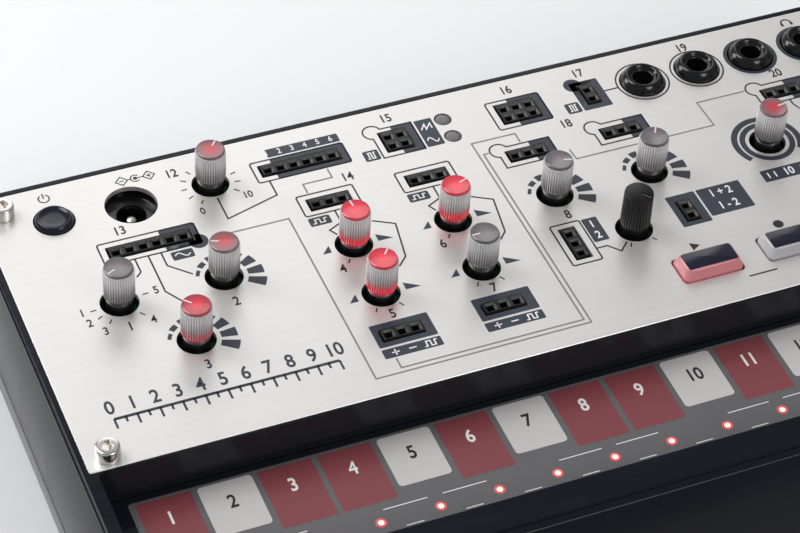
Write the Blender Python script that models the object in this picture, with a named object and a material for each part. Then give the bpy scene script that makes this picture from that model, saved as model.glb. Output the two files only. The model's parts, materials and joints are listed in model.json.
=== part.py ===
# Pocket semi-modular synthesizer: a black case in two halves, a brushed metal panel with knobs
# and patch sockets, and a touch keyboard sunk in a well along the front edge.
# Metres, +Z up, front towards -Y, origin on the table under the middle of the case.

import itertools
import math

import bmesh
import bpy
from mathutils import Matrix, Vector

# Fits
FIT_GAP = 0.0003            # between a piece and what it sits or runs in
FACE_GAP = 0.0001           # between flat faces that are clamped together
OVERCUT = 0.0020            # how far a cutter runs past the face that it opens
MERGE = 0.0005              # how far a joined shape sinks into its neighbour

# Knob columns, counted along the panel from its left edge
EDGE_TO_RATIO = 0.0170
SOURCE_STEP = 0.0097
MOD_TO_ATTACK = 0.0247
FUNCTION_STEP = 0.0194
SHAPE_TO_GATE = 0.0204
GATE_STEP = 0.0194
GATE_TO_AMOUNT = 0.0248
AMOUNT_TO_VOLUME = 0.0238
VOLUME_TO_EDGE = 0.0171

# Rows, counted from the panel's front edge
BUTTON_ROW = 0.0100
LOWER_ROW = 0.0231
MIDDLE_ROW = 0.0362
SOCKET_ROW = 0.0483
TOP_ROW = 0.0597
TOP_ROW_TO_EDGE = 0.0092
OUTPUT_ROW = 0.0132

# What stands a little off its column or row
POWER_X = 0.0124
TEMPO_RIGHT_OF_MOD = 0.0057
CLOCK_LEFT_OF_ATTACK = 0.0014
RANDOM_LEFT_OF_SHAPE = 0.0015
LAMPS_RIGHT_OF_SHAPE = 0.0089
SPLIT_RIGHT_OF_GATE = 0.0031
CV_LEFT_OF_GATE = 0.0013
BLEND_RIGHT_OF_GATE = 0.0099
UTILITY_IN_LEFT_OF_GATE = 0.0019
UTILITY_OUT_RIGHT_OF_GATE = 0.0022
UTILITY_OUT_ABOVE_ROW = 0.0011
EFFECT_RIGHT_OF_AMOUNT = 0.0095
DC_BELOW_ROW = 0.0005

# Panel sheet and its screws
PANEL_THICKNESS = 0.0010
PANEL_SCREW_INSET_X = 0.0041
PANEL_SCREW_FRONT = 0.0028
PANEL_SCREW_REAR = 0.0047
SCREW_SHANK_RADIUS = 0.00125
PANEL_SCREW_LENGTH = 0.0065
PANEL_HEAD_RADIUS = 0.00215
PANEL_HEAD_HEIGHT = 0.0026
HEX_RADIUS = 0.00125
HEX_DEPTH = 0.0014
CASE_HEAD_RADIUS = 0.0022
CASE_HEAD_HEIGHT = 0.0018
CASE_SCREW_LENGTH = 0.0140
CROSS_LENGTH = 0.0026
CROSS_WIDTH = 0.0006
CROSS_DEPTH = 0.0009

# Case
SIDE_RIM = 0.0018
REAR_RIM = 0.0018
SIDE_FLARE = 0.0017
REAR_FLARE = 0.0010
FRONT_SLOPE = 0.0075
BASE_TAPER = 0.0012
BASE_CHAMFER = 0.0015
RIM_CHAMFER = 0.0005
CORNER_RADIUS = 0.0035
WALL = 0.0020
LEDGE_WIDTH = 0.0022
LEDGE_THICKNESS = 0.0020
BASE_HEIGHT = 0.0110
LIP_HEIGHT = 0.0016
LIP_THICKNESS = 0.0010
FOOT_RADIUS = 0.0045
FOOT_STANDOUT = 0.0010
FOOT_SUNK = 0.0006
FOOT_INSET = 0.0080
BOSS_RADIUS = 0.00275
COLUMN_RADIUS = 0.0030
PILLAR_RADIUS = 0.0037
PILLAR_FRONT = 0.0120
PILLAR_REAR = 0.0500
COUNTERBORE_DEPTH = 0.0050
POST_RADIUS = 0.0020
POST_INSET = 0.0032

# Keyboard well and the touch plate under it
WELL_BEHIND_PANEL = 0.0005
WELL_LENGTH = 0.0279
WELL_SIDE_INSET = 0.0013
WELL_RADIUS = 0.0010
FRONT_STRIP = 0.0074
KEYS_ABOVE_BOARD = 0.0005
PLATE_THICKNESS = 0.0008
PLATE_OVERLAP = 0.0015
KEY_BOARD_THICKNESS = 0.0012

# Circuit board and the bodies soldered to it
BOARD_DROP = 0.0085         # panel's upper face to the board's upper face
BOARD_THICKNESS = 0.0016
BOARD_TO_BAY = 0.0007
BOARD_TO_WALL = 0.0044
BOARD_TO_PILLAR = 0.0006
POT_SIZE = 0.0090
POT_HEIGHT = 0.0050
POT_BORE_RADIUS = 0.0024
SWITCH_SIZE = 0.0060
SWITCH_HEIGHT = 0.0042
LAMP_RADIUS = 0.0014
LAMP_TIP_RADIUS = 0.0008
LAMP_HOLE_RADIUS = 0.0017
LAMP_SPACING = 0.0050
RIBBON_WIDTH = 0.0160
RIBBON_THICKNESS = 0.0003
RIBBON_SLACK = 0.0025
RIBBON_OVERLAP = 0.0040
RIBBON_STEPS = 8

# Battery bay for six AA cells side by side, and its sliding door
CELL_COUNT = 6
CELL_DIAMETER = 0.0145
CELL_LENGTH = 0.0505
CELL_PLAY = 0.0004
CONTACT_DEPTH = 0.0020
CONTACT_THICKNESS = 0.0005
STUD_RADIUS = 0.0020
STUD_TIP_RADIUS = 0.0010
BAY_WALL = 0.0012
BAY_TO_JACKS = 0.0015
DOOR_THICKNESS = 0.0018
DOOR_LAP = 0.0016
DOOR_TONGUE = 0.0015
DOOR_TONGUE_THICKNESS = 0.0008
GRIP_GROOVES = 3
GRIP_LENGTH = 0.0140
GRIP_WIDTH = 0.0014
GRIP_STEP = 0.0030
GRIP_DEPTH = 0.0005

# Speaker
SPEAKER_RADIUS = 0.0140
SPEAKER_HEIGHT = 0.0080
SPEAKER_RIM = 0.0012
BASKET_HEIGHT = 0.0040
MAGNET_RADIUS = 0.0084
CONE_DEPTH = 0.0020
CONE_TIP_RADIUS = 0.0020
SEAT_WALL = 0.0012
SEAT_HEIGHT = 0.0040
SPEAKER_TO_BAY = 0.0024
SLOT_COUNT = 7
SLOT_WIDTH = 0.0014
SLOT_STEP = 0.0030

# Knobs, heights counted from the panel's upper face
KNOB_HOLE_RADIUS = 0.0035
KNOB_RIBS = 10
RIB_DEPTH = 0.00022
STEM_RADIUS = 0.0020
CLEAR_KNOB_RADIUS = 0.00283
CLEAR_KNOB_HEIGHT = 0.0087
CLEAR_SKIRT_RADIUS = 0.0026
CLEAR_SKIRT_HEIGHT = 0.0023
BLACK_KNOB_RADIUS = 0.0028
BLACK_KNOB_TOP_RADIUS = 0.00248
BLACK_KNOB_HEIGHT = 0.0090
POINTER_WIDTH = 0.00045
POINTER_DEPTH = 0.00035
POINTER_START = 0.0003

# Buttons
BUTTON_FIRST_LEFT_OF_GATE = 0.0010
BUTTON_LAST_TO_EDGE = 0.0154
BUTTON_COUNT = 4
BUTTON_HOLE_WIDTH = 0.0124
BUTTON_HOLE_LENGTH = 0.0066
BUTTON_CORNER = 0.0010
BUTTON_HEIGHT = 0.00215
BUTTON_DRAFT = 0.0004
BUTTON_STEM_SIZE = 0.0030
FLANGE_WIDTH = 0.0006
FLANGE_THICKNESS = 0.0008
BUTTON_TRAVEL = 0.0006
POWER_HOLE_RADIUS = 0.0039
POWER_TOP_RADIUS = 0.0031
POWER_HEIGHT = 0.0010

# Sockets
SOCKET_PITCH = 0.00254
SOCKET_SIZE = 0.0010
SOCKET_DEPTH = 0.0060
HEADER_PROUD = 0.0002
HEADER_MARGIN = 0.00045
JACK_COUNT = 4
JACK_RIGHT_OF_GATE = 0.0099
JACK_PITCH = 0.0117
JACK_COLLAR_RADIUS = 0.00435
JACK_RING_RADIUS = 0.0034
JACK_PROUD = 0.0018
JACK_EDGE = 0.0003
JACK_FLOOR = 0.0012
JACK_BORE_RADIUS = 0.0018
JACK_BODY_WIDTH = 0.0096
JACK_BODY_LENGTH = 0.0106
JACK_BODY_DEPTH = 0.0138    # panel's upper face to the underside of the body
DC_HOLE_RADIUS = 0.00485
DC_COLLAR_WALL = 0.0009
DC_WELL_DEPTH = 0.0027
DC_BORE_RADIUS = 0.0026
DC_BODY_SIZE = 0.0120
DC_PIN_RADIUS = 0.0010
DC_PIN_BELOW_WELL = 0.0008

# Facets round one turn, steps round a corner or a dome, and the least angle that stays a crease
ROUND_SIDES = 16
SMALL_SIDES = 10
CORNER_STEPS = 3
DOME_STEPS = 2
CREASE_ANGLE = math.radians(32)

# Plan of the panel
RATIO_X = EDGE_TO_RATIO
FOLD_X = RATIO_X + SOURCE_STEP
MOD_X = FOLD_X + SOURCE_STEP
ATTACK_X = MOD_X + MOD_TO_ATTACK
SHAPE_X = ATTACK_X + FUNCTION_STEP
GATE_A_X = SHAPE_X + SHAPE_TO_GATE
GATE_B_X = GATE_A_X + GATE_STEP
AMOUNT_X = GATE_B_X + GATE_TO_AMOUNT
VOLUME_X = AMOUNT_X + AMOUNT_TO_VOLUME
PANEL_WIDTH = VOLUME_X + VOLUME_TO_EDGE
PANEL_DEPTH = TOP_ROW + TOP_ROW_TO_EDGE

# Knob: its place, the way its pointer faces at rest in degrees from +X, and whether it is clear
KNOBS = {
    "knob_ratio": (RATIO_X, MIDDLE_ROW, 205, True),
    "knob_fold": (FOLD_X, LOWER_ROW, 135, True),
    "knob_mod": (MOD_X, MIDDLE_ROW, 160, True),
    "knob_tempo": (MOD_X + TEMPO_RIGHT_OF_MOD, TOP_ROW, 50, True),
    "knob_attack": (ATTACK_X, MIDDLE_ROW, 95, True),
    "knob_release": (ATTACK_X, LOWER_ROW, 50, True),
    "knob_shape": (SHAPE_X, MIDDLE_ROW, 20, True),
    "knob_time": (SHAPE_X, LOWER_ROW, 180, True),
    "knob_cutoff_a": (GATE_A_X, MIDDLE_ROW, -20, True),
    "knob_cutoff_b": (GATE_B_X, MIDDLE_ROW, 60, True),
    "knob_amount": (AMOUNT_X, MIDDLE_ROW, 5, True),
    "knob_blend": (GATE_A_X + BLEND_RIGHT_OF_GATE, LOWER_ROW, -50, False),
    "knob_volume": (VOLUME_X, MIDDLE_ROW, 90, False),
}

# Patch header: its middle, and its sockets along X and along Y
HEADERS = {
    "header_source": (FOLD_X, SOCKET_ROW, 6, 1),
    "header_clock": (ATTACK_X - CLOCK_LEFT_OF_ATTACK, TOP_ROW, 6, 1),
    "header_function_a": (ATTACK_X, SOCKET_ROW, 3, 1),
    "header_function_b": (SHAPE_X, SOCKET_ROW, 3, 1),
    "header_release": (ATTACK_X, OUTPUT_ROW, 3, 1),
    "header_time": (SHAPE_X, OUTPUT_ROW, 3, 1),
    "header_random": (SHAPE_X - RANDOM_LEFT_OF_SHAPE, TOP_ROW, 2, 2),
    "header_split": (GATE_A_X + SPLIT_RIGHT_OF_GATE, TOP_ROW, 3, 2),
    "header_cv_in": (GATE_B_X - CV_LEFT_OF_GATE, TOP_ROW, 1, 2),
    "header_gate_a": (GATE_A_X, SOCKET_ROW, 3, 1),
    "header_gate_b": (GATE_B_X, SOCKET_ROW, 3, 1),
    "header_utility_in": (GATE_A_X - UTILITY_IN_LEFT_OF_GATE, LOWER_ROW, 1, 3),
    "header_utility_out": (GATE_B_X + UTILITY_OUT_RIGHT_OF_GATE, LOWER_ROW + UTILITY_OUT_ABOVE_ROW, 1, 2),
    "header_effect": (AMOUNT_X + EFFECT_RIGHT_OF_AMOUNT, SOCKET_ROW, 3, 1),
}
LAMP_X = SHAPE_X + LAMPS_RIGHT_OF_SHAPE
LAMPS_Y = [TOP_ROW + side * LAMP_SPACING / 2 for side in (-1, 1)]
DC_X, DC_Y = FOLD_X, TOP_ROW - DC_BELOW_ROW
JACKS_X = [GATE_B_X + JACK_RIGHT_OF_GATE + i * JACK_PITCH for i in range(JACK_COUNT)]
BUTTON_FIRST_X = GATE_B_X - BUTTON_FIRST_LEFT_OF_GATE
BUTTON_LAST_X = PANEL_WIDTH - BUTTON_LAST_TO_EDGE
BUTTON_STEP = (BUTTON_LAST_X - BUTTON_FIRST_X) / (BUTTON_COUNT - 1)
BUTTON_NAMES = ("button_play", "button_record", "button_memory", "button_function")
CORNERS = {"front_left": (0, 0), "front_right": (1, 0), "rear_left": (0, 1), "rear_right": (1, 1)}

# Plan of the case, still counted from the panel's front left corner
WELL_X = (WELL_SIDE_INSET, PANEL_WIDTH - WELL_SIDE_INSET)
WELL_Y = (-WELL_BEHIND_PANEL - WELL_LENGTH, -WELL_BEHIND_PANEL)
RIM_X = (-SIDE_RIM, PANEL_WIDTH + SIDE_RIM)
RIM_Y = (WELL_Y[0] - FRONT_STRIP, PANEL_DEPTH + REAR_RIM)
SEAM_X = (RIM_X[0] - SIDE_FLARE, RIM_X[1] + SIDE_FLARE)
SEAM_Y = (RIM_Y[0] - FRONT_SLOPE, RIM_Y[1] + REAR_FLARE)
PLATE_X = (WELL_X[0] - PLATE_OVERLAP, WELL_X[1] + PLATE_OVERLAP)
PLATE_Y = (WELL_Y[0] - PLATE_OVERLAP, WELL_Y[1] + PLATE_OVERLAP)
BOARD_INSET = PANEL_SCREW_INSET_X + PILLAR_RADIUS + BOARD_TO_PILLAR
BOARD_X = (BOARD_INSET, PANEL_WIDTH - BOARD_INSET)
BOARD_Y = (PLATE_Y[1] + BOARD_TO_BAY, RIM_Y[1] - BOARD_TO_WALL)
ORIGIN = Vector((sum(SEAM_X) / 2, sum(SEAM_Y) / 2, 0))
FEET_X = (SEAM_X[0] + BASE_TAPER + FOOT_INSET, SEAM_X[1] - BASE_TAPER - FOOT_INSET)
FEET_Y = (SEAM_Y[0] + BASE_TAPER + FOOT_INSET, SEAM_Y[1] - BASE_TAPER - FOOT_INSET)

# Battery bay and door
MIDDLE_X = ORIGIN.x
BAY_HALF = CELL_COUNT * (CELL_DIAMETER + CELL_PLAY) / 2
BAY_REAR = TOP_ROW - JACK_BODY_LENGTH / 2 - BAY_TO_JACKS - BAY_WALL
BAY_FRONT = BAY_REAR - CELL_LENGTH - 2 * CONTACT_DEPTH
DOOR_HALF = BAY_HALF + DOOR_LAP
DOOR_Y = (BAY_FRONT - DOOR_LAP, SEAM_Y[1] - BASE_TAPER - BASE_CHAMFER - FIT_GAP)
SPEAKER_X = MIDDLE_X + BAY_HALF + BAY_WALL + SPEAKER_TO_BAY + SPEAKER_RADIUS
SPEAKER_Y = sum(WELL_Y) / 2

# Heights, from the table up
UNDERSIDE = FOOT_STANDOUT
FLOOR = UNDERSIDE + WALL
SEAM = UNDERSIDE + BASE_HEIGHT
CASE_SCREW_SEAT = UNDERSIDE + COUNTERBORE_DEPTH
DOOR_TOP = UNDERSIDE + DOOR_THICKNESS
BAY_CEILING = DOOR_TOP + FIT_GAP + CELL_DIAMETER + 2 * CELL_PLAY
BOARD_UNDER = BAY_CEILING + BAY_WALL + BOARD_TO_BAY
BOARD_TOP = BOARD_UNDER + BOARD_THICKNESS
PANEL_TOP = BOARD_TOP + BOARD_DROP
PANEL_UNDER = PANEL_TOP - PANEL_THICKNESS
LEDGE_TOP = PANEL_UNDER - FACE_GAP
LEDGE_UNDER = LEDGE_TOP - LEDGE_THICKNESS
KEYS_TOP = BOARD_TOP + KEYS_ABOVE_BOARD
PLATE_UNDER = KEYS_TOP - PLATE_THICKNESS
KEY_BOARD_TOP = PLATE_UNDER - FIT_GAP
KEY_BOARD_UNDER = KEY_BOARD_TOP - KEY_BOARD_THICKNESS
SWITCH_TOP = BOARD_TOP + SWITCH_HEIGHT
FLANGE_TOP = PANEL_UNDER - FIT_GAP
FLANGE_UNDER = FLANGE_TOP - FLANGE_THICKNESS
PRESS_END = SWITCH_TOP + BUTTON_TRAVEL + FIT_GAP

# Finishes: colour, roughness, metallic
FINISHES = {
    "case_black": ((0.008, 0.009, 0.014), 0.12, 0.0),
    "panel_aluminium": ((0.78, 0.77, 0.76), 0.34, 1.0),
    "knob_clear": ((0.80, 0.74, 0.74), 0.10, 0.0),
    "knob_black": ((0.012, 0.012, 0.013), 0.35, 0.0),
    "button_frosted": ((0.62, 0.50, 0.50), 0.45, 0.0),
    "power_navy": ((0.010, 0.014, 0.028), 0.18, 0.0),
    "socket_black": ((0.010, 0.010, 0.011), 0.42, 0.0),
    "screw_steel": ((0.66, 0.64, 0.62), 0.22, 1.0),
    "key_plate": ((0.20, 0.19, 0.20), 0.30, 0.0),
    "board_green": ((0.02, 0.09, 0.04), 0.45, 0.0),
    "foot_rubber": ((0.018, 0.018, 0.018), 0.85, 0.0),
    "speaker_grey": ((0.05, 0.05, 0.055), 0.50, 0.0),
    "contact_nickel": ((0.70, 0.68, 0.62), 0.30, 1.0),
    "ribbon_grey": ((0.35, 0.35, 0.36), 0.55, 0.0),
}


def clear_scene():
    for obj in list(bpy.data.objects):
        bpy.data.objects.remove(obj, do_unlink=True)


def finish(name):
    material = bpy.data.materials.get(name)
    if material is None:
        colour, roughness, metallic = FINISHES[name]
        material = bpy.data.materials.new(name)
        material.use_nodes = True
        shader = material.node_tree.nodes["Principled BSDF"]
        shader.inputs["Base Color"].default_value = (*colour, 1.0)
        shader.inputs["Roughness"].default_value = roughness
        shader.inputs["Metallic"].default_value = metallic
        material.diffuse_color = (*colour, 1.0)
    return material


# A bmesh made into an object, in panel plan coordinates until it is placed
def solid(bm, name="tool"):
    bmesh.ops.recalc_face_normals(bm, faces=bm.faces)
    mesh = bpy.data.meshes.new(name)
    bm.to_mesh(mesh)
    bm.free()
    obj = bpy.data.objects.new(name, mesh)
    bpy.context.scene.collection.objects.link(obj)
    return obj


def box(x, y, z):
    bm = bmesh.new()
    bmesh.ops.create_cube(bm, size=1)
    size = (x[1] - x[0], y[1] - y[0], z[1] - z[0])
    middle = ((x[0] + x[1]) / 2, (y[0] + y[1]) / 2, (z[0] + z[1]) / 2)
    bmesh.ops.scale(bm, vec=size, verts=bm.verts)
    bmesh.ops.translate(bm, vec=middle, verts=bm.verts)
    return solid(bm)


def box_at(x, y, width, length, z):
    return box((x - width / 2, x + width / 2), (y - length / 2, y + length / 2), z)


# Circle of points, with every second one drawn in by rib
def circle(radius, sides, rib=0.0):
    turn = 2 * math.pi / sides
    return [
        ((radius - rib * (i % 2)) * math.cos(i * turn), (radius - rib * (i % 2)) * math.sin(i * turn))
        for i in range(sides)
    ]


def rounded_outline(x, y, radius):
    points = []
    middles = ((x[1], y[1], 0), (x[0], y[1], 1), (x[0], y[0], 2), (x[1], y[0], 3))
    for corner_x, corner_y, quarter in middles:
        centre_x = corner_x - math.copysign(radius, corner_x - x[0] - (x[1] - x[0]) / 2)
        centre_y = corner_y - math.copysign(radius, corner_y - y[0] - (y[1] - y[0]) / 2)
        for step in range(CORNER_STEPS + 1):
            angle = (quarter + step / CORNER_STEPS) * math.pi / 2
            points.append((centre_x + radius * math.cos(angle), centre_y + radius * math.sin(angle)))
    return points


# Closed skin over a pile of outlines, each a list of points and a height
def loft(levels):
    bm = bmesh.new()
    rings = [[bm.verts.new((x, y, z)) for x, y in points] for points, z in levels]
    for lower, upper in zip(rings, rings[1:]):
        for i in range(len(lower)):
            j = (i + 1) % len(lower)
            bm.faces.new((lower[i], lower[j], upper[j], upper[i]))
    bm.faces.new(rings[0])
    bm.faces.new(rings[-1])
    return solid(bm)


# Turned piece about a vertical axis through x, y: a profile of radius and height
def turned(profile, sides, x=0.0, y=0.0):
    piece = loft([(circle(radius, sides), z) for radius, z in profile])
    piece.data.transform(Matrix.Translation((x, y, 0)))
    return piece


def disc(x, y, radius, z, sides=ROUND_SIDES):
    return turned([(radius, z[0]), (radius, z[1])], sides, x, y)


def group(pieces):
    bm = bmesh.new()
    for piece in pieces:
        bm.from_mesh(piece.data)
        bpy.data.objects.remove(piece, do_unlink=True)
    return solid(bm)


def combine(target, operation, tool):
    modifier = target.modifiers.new(operation.lower(), "BOOLEAN")
    modifier.operation = operation
    modifier.object = tool
    graph = bpy.context.evaluated_depsgraph_get()
    result = bpy.data.meshes.new_from_object(target.evaluated_get(graph))
    target.modifiers.remove(modifier)
    target.data = result
    bpy.data.objects.remove(tool, do_unlink=True)
    return target


def join(target, *tools):
    for tool in tools:
        combine(target, "UNION", tool)
    return target


def cut(target, *tools):
    for tool in tools:
        combine(target, "DIFFERENCE", tool)
    return target


def shade(mesh, material):
    mesh.materials.clear()
    mesh.materials.append(finish(material))
    mesh.shade_smooth()
    mesh.set_sharp_from_angle(angle=CREASE_ANGLE)


# A piece that stays put: its mesh moves from plan coordinates to the case's own
def fixed_piece(name, piece, material):
    piece.data.transform(Matrix.Translation(-ORIGIN))
    piece.name = name
    piece.data.name = name
    shade(piece.data, material)
    return piece


# A copy of a shared mesh, which is modelled about its own origin
def copy_of(mesh, name, x, y, z=0.0, turn=0.0):
    obj = bpy.data.objects.new(name, mesh)
    obj.location = Vector((x, y, z)) - ORIGIN
    obj.rotation_euler.z = math.radians(turn)
    bpy.context.scene.collection.objects.link(obj)
    return obj


def shared_mesh(piece, name, material):
    mesh = piece.data
    mesh.name = name
    shade(mesh, material)
    bpy.data.objects.remove(piece, do_unlink=True)
    return mesh


def between(a, b, share):
    return a + (b - a) * share


# Plan outline of the upper half at a height, drawn in by inset
def shell_outline(z, inset=0.0):
    share = (z - SEAM) / (PANEL_TOP - SEAM)
    x = (between(SEAM_X[0], RIM_X[0], share) + inset, between(SEAM_X[1], RIM_X[1], share) - inset)
    y = (between(SEAM_Y[0], RIM_Y[0], share) + inset, between(SEAM_Y[1], RIM_Y[1], share) - inset)
    return rounded_outline(x, y, CORNER_RADIUS - min(inset, CORNER_RADIUS / 2))


# The same for the lower half, which draws in a little towards the table
def base_outline(z, inset=0.0):
    inset += BASE_TAPER * (SEAM - z) / BASE_HEIGHT
    x = (SEAM_X[0] + inset, SEAM_X[1] - inset)
    y = (SEAM_Y[0] + inset, SEAM_Y[1] - inset)
    return rounded_outline(x, y, CORNER_RADIUS - min(inset, CORNER_RADIUS / 2))


def at_corner(corner, inset_x, front, rear):
    right, back = CORNERS[corner]
    x = PANEL_WIDTH - inset_x if right else inset_x
    y = PANEL_DEPTH - rear if back else front
    return x, y


def panel_screw_place(corner):
    return at_corner(corner, PANEL_SCREW_INSET_X, PANEL_SCREW_FRONT, PANEL_SCREW_REAR)


def case_screw_place(corner):
    return at_corner(corner, PANEL_SCREW_INSET_X, PILLAR_FRONT, PANEL_DEPTH - PILLAR_REAR)


def make_top_shell():
    foot = SEAM + FACE_GAP
    chamfer = PANEL_TOP - RIM_CHAMFER
    shell = loft(
        [
            (shell_outline(foot), foot),
            (shell_outline(chamfer), chamfer),
            (shell_outline(PANEL_TOP, RIM_CHAMFER), PANEL_TOP),
        ]
    )
    cavity = loft(
        [
            (shell_outline(foot, WALL), foot - OVERCUT),
            (shell_outline(foot, WALL), foot),
            (shell_outline(LEDGE_UNDER, WALL), LEDGE_UNDER),
        ]
    )
    recess = box(
        (-FACE_GAP, PANEL_WIDTH + FACE_GAP),
        (-FACE_GAP, PANEL_DEPTH + FACE_GAP),
        (LEDGE_TOP, PANEL_TOP + OVERCUT),
    )
    window = box(
        (LEDGE_WIDTH, PANEL_WIDTH - LEDGE_WIDTH),
        (LEDGE_WIDTH, PANEL_DEPTH - LEDGE_WIDTH),
        (LEDGE_UNDER - OVERCUT, LEDGE_TOP + OVERCUT),
    )
    cut(shell, cavity, recess, window)
    well_foot = KEYS_TOP + FIT_GAP
    walls = box(
        (WELL_X[0] - WALL, WELL_X[1] + WALL),
        (WELL_Y[0] - WALL, WELL_Y[1] + WALL),
        (well_foot, LEDGE_UNDER + MERGE),
    )
    join(shell, walls)
    add_shell_bosses(shell)
    well = rounded_outline(WELL_X, WELL_Y, WELL_RADIUS)
    cut(shell, loft([(well, well_foot - OVERCUT), (well, PANEL_TOP + OVERCUT)]))
    cut_shell_holes(shell)
    return fixed_piece("top_shell", shell, "case_black")


# Bosses under the panel's screws, and columns that take the case screws from below
def add_shell_bosses(shell):
    boss_z = (PANEL_TOP - PANEL_SCREW_LENGTH - 2 * FIT_GAP, LEDGE_UNDER + MERGE)
    gusset_z = (LEDGE_UNDER - FACE_GAP, LEDGE_TOP - FACE_GAP)
    column_z = (SEAM + FACE_GAP, LEDGE_UNDER + MERGE)
    rib_z = (SEAM + LIP_HEIGHT + FIT_GAP, LEDGE_UNDER + MERGE)
    for corner, (right, back) in CORNERS.items():
        x, y = panel_screw_place(corner)
        edge_x = PANEL_WIDTH - MERGE if right else MERGE
        edge_y = PANEL_DEPTH - MERGE if back else MERGE
        reach_x = (min(x - BOSS_RADIUS, edge_x), max(x + BOSS_RADIUS, edge_x))
        reach_y = (min(y - BOSS_RADIUS, edge_y), max(y + BOSS_RADIUS, edge_y))
        join(shell, box(reach_x, reach_y, gusset_z), disc(x, y, BOSS_RADIUS, boss_z, SMALL_SIDES))
        x, y = case_screw_place(corner)
        wall_x = RIM_X[right] + (-MERGE if right else MERGE)
        rib = box((min(x, wall_x), max(x, wall_x)), (y - WALL / 2, y + WALL / 2), rib_z)
        join(shell, disc(x, y, COLUMN_RADIUS, column_z, SMALL_SIDES), rib)


def cut_shell_holes(shell):
    radius = SCREW_SHANK_RADIUS + FIT_GAP
    panel_z = (PANEL_TOP - PANEL_SCREW_LENGTH - FIT_GAP, PANEL_TOP)
    case_z = (SEAM - OVERCUT, CASE_SCREW_SEAT + CASE_SCREW_LENGTH + FIT_GAP)
    cut(shell, group([disc(*panel_screw_place(corner), radius, panel_z, SMALL_SIDES) for corner in CORNERS]))
    cut(shell, group([disc(*case_screw_place(corner), radius, case_z, SMALL_SIDES) for corner in CORNERS]))


def make_bottom_case():
    rim = SEAM - FACE_GAP
    base = loft(
        [
            (base_outline(UNDERSIDE, BASE_CHAMFER), UNDERSIDE),
            (base_outline(UNDERSIDE + BASE_CHAMFER), UNDERSIDE + BASE_CHAMFER),
            (base_outline(rim), rim),
        ]
    )
    hollow = loft([(base_outline(FLOOR, WALL), FLOOR), (base_outline(rim, WALL), rim + OVERCUT)])
    cut(base, hollow)
    lip_foot = rim - 2 * LIP_THICKNESS
    lip_top = SEAM + LIP_HEIGHT
    outer, inner = WALL + FIT_GAP, WALL + FIT_GAP + LIP_THICKNESS
    root_outline = base_outline(SEAM, WALL - MERGE)
    root = loft([(root_outline, lip_foot), (root_outline, rim - MERGE)])
    lip = loft(
        [
            (shell_outline(SEAM, outer), lip_foot + MERGE),
            (shell_outline(SEAM, outer), SEAM),
            (shell_outline(lip_top, outer), lip_top),
        ]
    )
    inside = loft(
        [
            (shell_outline(SEAM, inner), lip_foot - OVERCUT),
            (shell_outline(SEAM, inner), SEAM),
            (shell_outline(lip_top + OVERCUT, inner), lip_top + OVERCUT),
        ]
    )
    cut(join(root, lip), inside)
    join(base, root)
    rail_half = DOOR_HALF + DOOR_TONGUE + BAY_WALL
    rail_top = DOOR_TOP + FIT_GAP + BAY_WALL
    rail = box(
        (MIDDLE_X - rail_half, MIDDLE_X + rail_half),
        (DOOR_Y[0] - BAY_WALL, SEAM_Y[1] - BASE_TAPER - WALL),
        (FLOOR - MERGE, rail_top),
    )
    bay = box(
        (MIDDLE_X - BAY_HALF - BAY_WALL, MIDDLE_X + BAY_HALF + BAY_WALL),
        (BAY_FRONT - BAY_WALL, BAY_REAR + BAY_WALL),
        (rail_top - MERGE, BAY_CEILING + BAY_WALL),
    )
    join(base, rail, bay)
    for corner in CORNERS:
        x, y = case_screw_place(corner)
        join(base, disc(x, y, PILLAR_RADIUS, (FLOOR - MERGE, rim), SMALL_SIDES))
    for x, y in board_posts():
        join(base, disc(x, y, POST_RADIUS, (FLOOR - MERGE, BOARD_UNDER - FIT_GAP), SMALL_SIDES))
    for x, y in key_posts():
        join(base, disc(x, y, POST_RADIUS, (FLOOR - MERGE, KEY_BOARD_UNDER - FIT_GAP), SMALL_SIDES))
    seat_radius = SPEAKER_RADIUS + FIT_GAP
    seat = disc(SPEAKER_X, SPEAKER_Y, seat_radius + SEAT_WALL, (FLOOR - MERGE, FLOOR + SEAT_HEIGHT))
    cut(seat, disc(SPEAKER_X, SPEAKER_Y, seat_radius, (FLOOR - OVERCUT, FLOOR + SEAT_HEIGHT + OVERCUT)))
    join(base, seat)
    cut_bay_and_rails(base)
    cut_base_holes(base)
    return fixed_piece("bottom_case", base, "case_black")


def cut_bay_and_rails(base):
    below = UNDERSIDE - OVERCUT
    rear = SEAM_Y[1] + OVERCUT
    run = (DOOR_Y[0] - FIT_GAP, rear)
    half = DOOR_HALF + FIT_GAP
    groove_half = half + DOOR_TONGUE
    groove = (DOOR_TOP - DOOR_TONGUE_THICKNESS - FIT_GAP, DOOR_TOP + FIT_GAP)
    inside = box(
        (MIDDLE_X - BAY_HALF, MIDDLE_X + BAY_HALF), (BAY_FRONT, BAY_REAR), (DOOR_TOP - MERGE, BAY_CEILING)
    )
    recess = box((MIDDLE_X - half, MIDDLE_X + half), run, (below, groove[1]))
    grooves = box((MIDDLE_X - groove_half, MIDDLE_X + groove_half), run, groove)
    cut(base, inside, recess, grooves)


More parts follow.
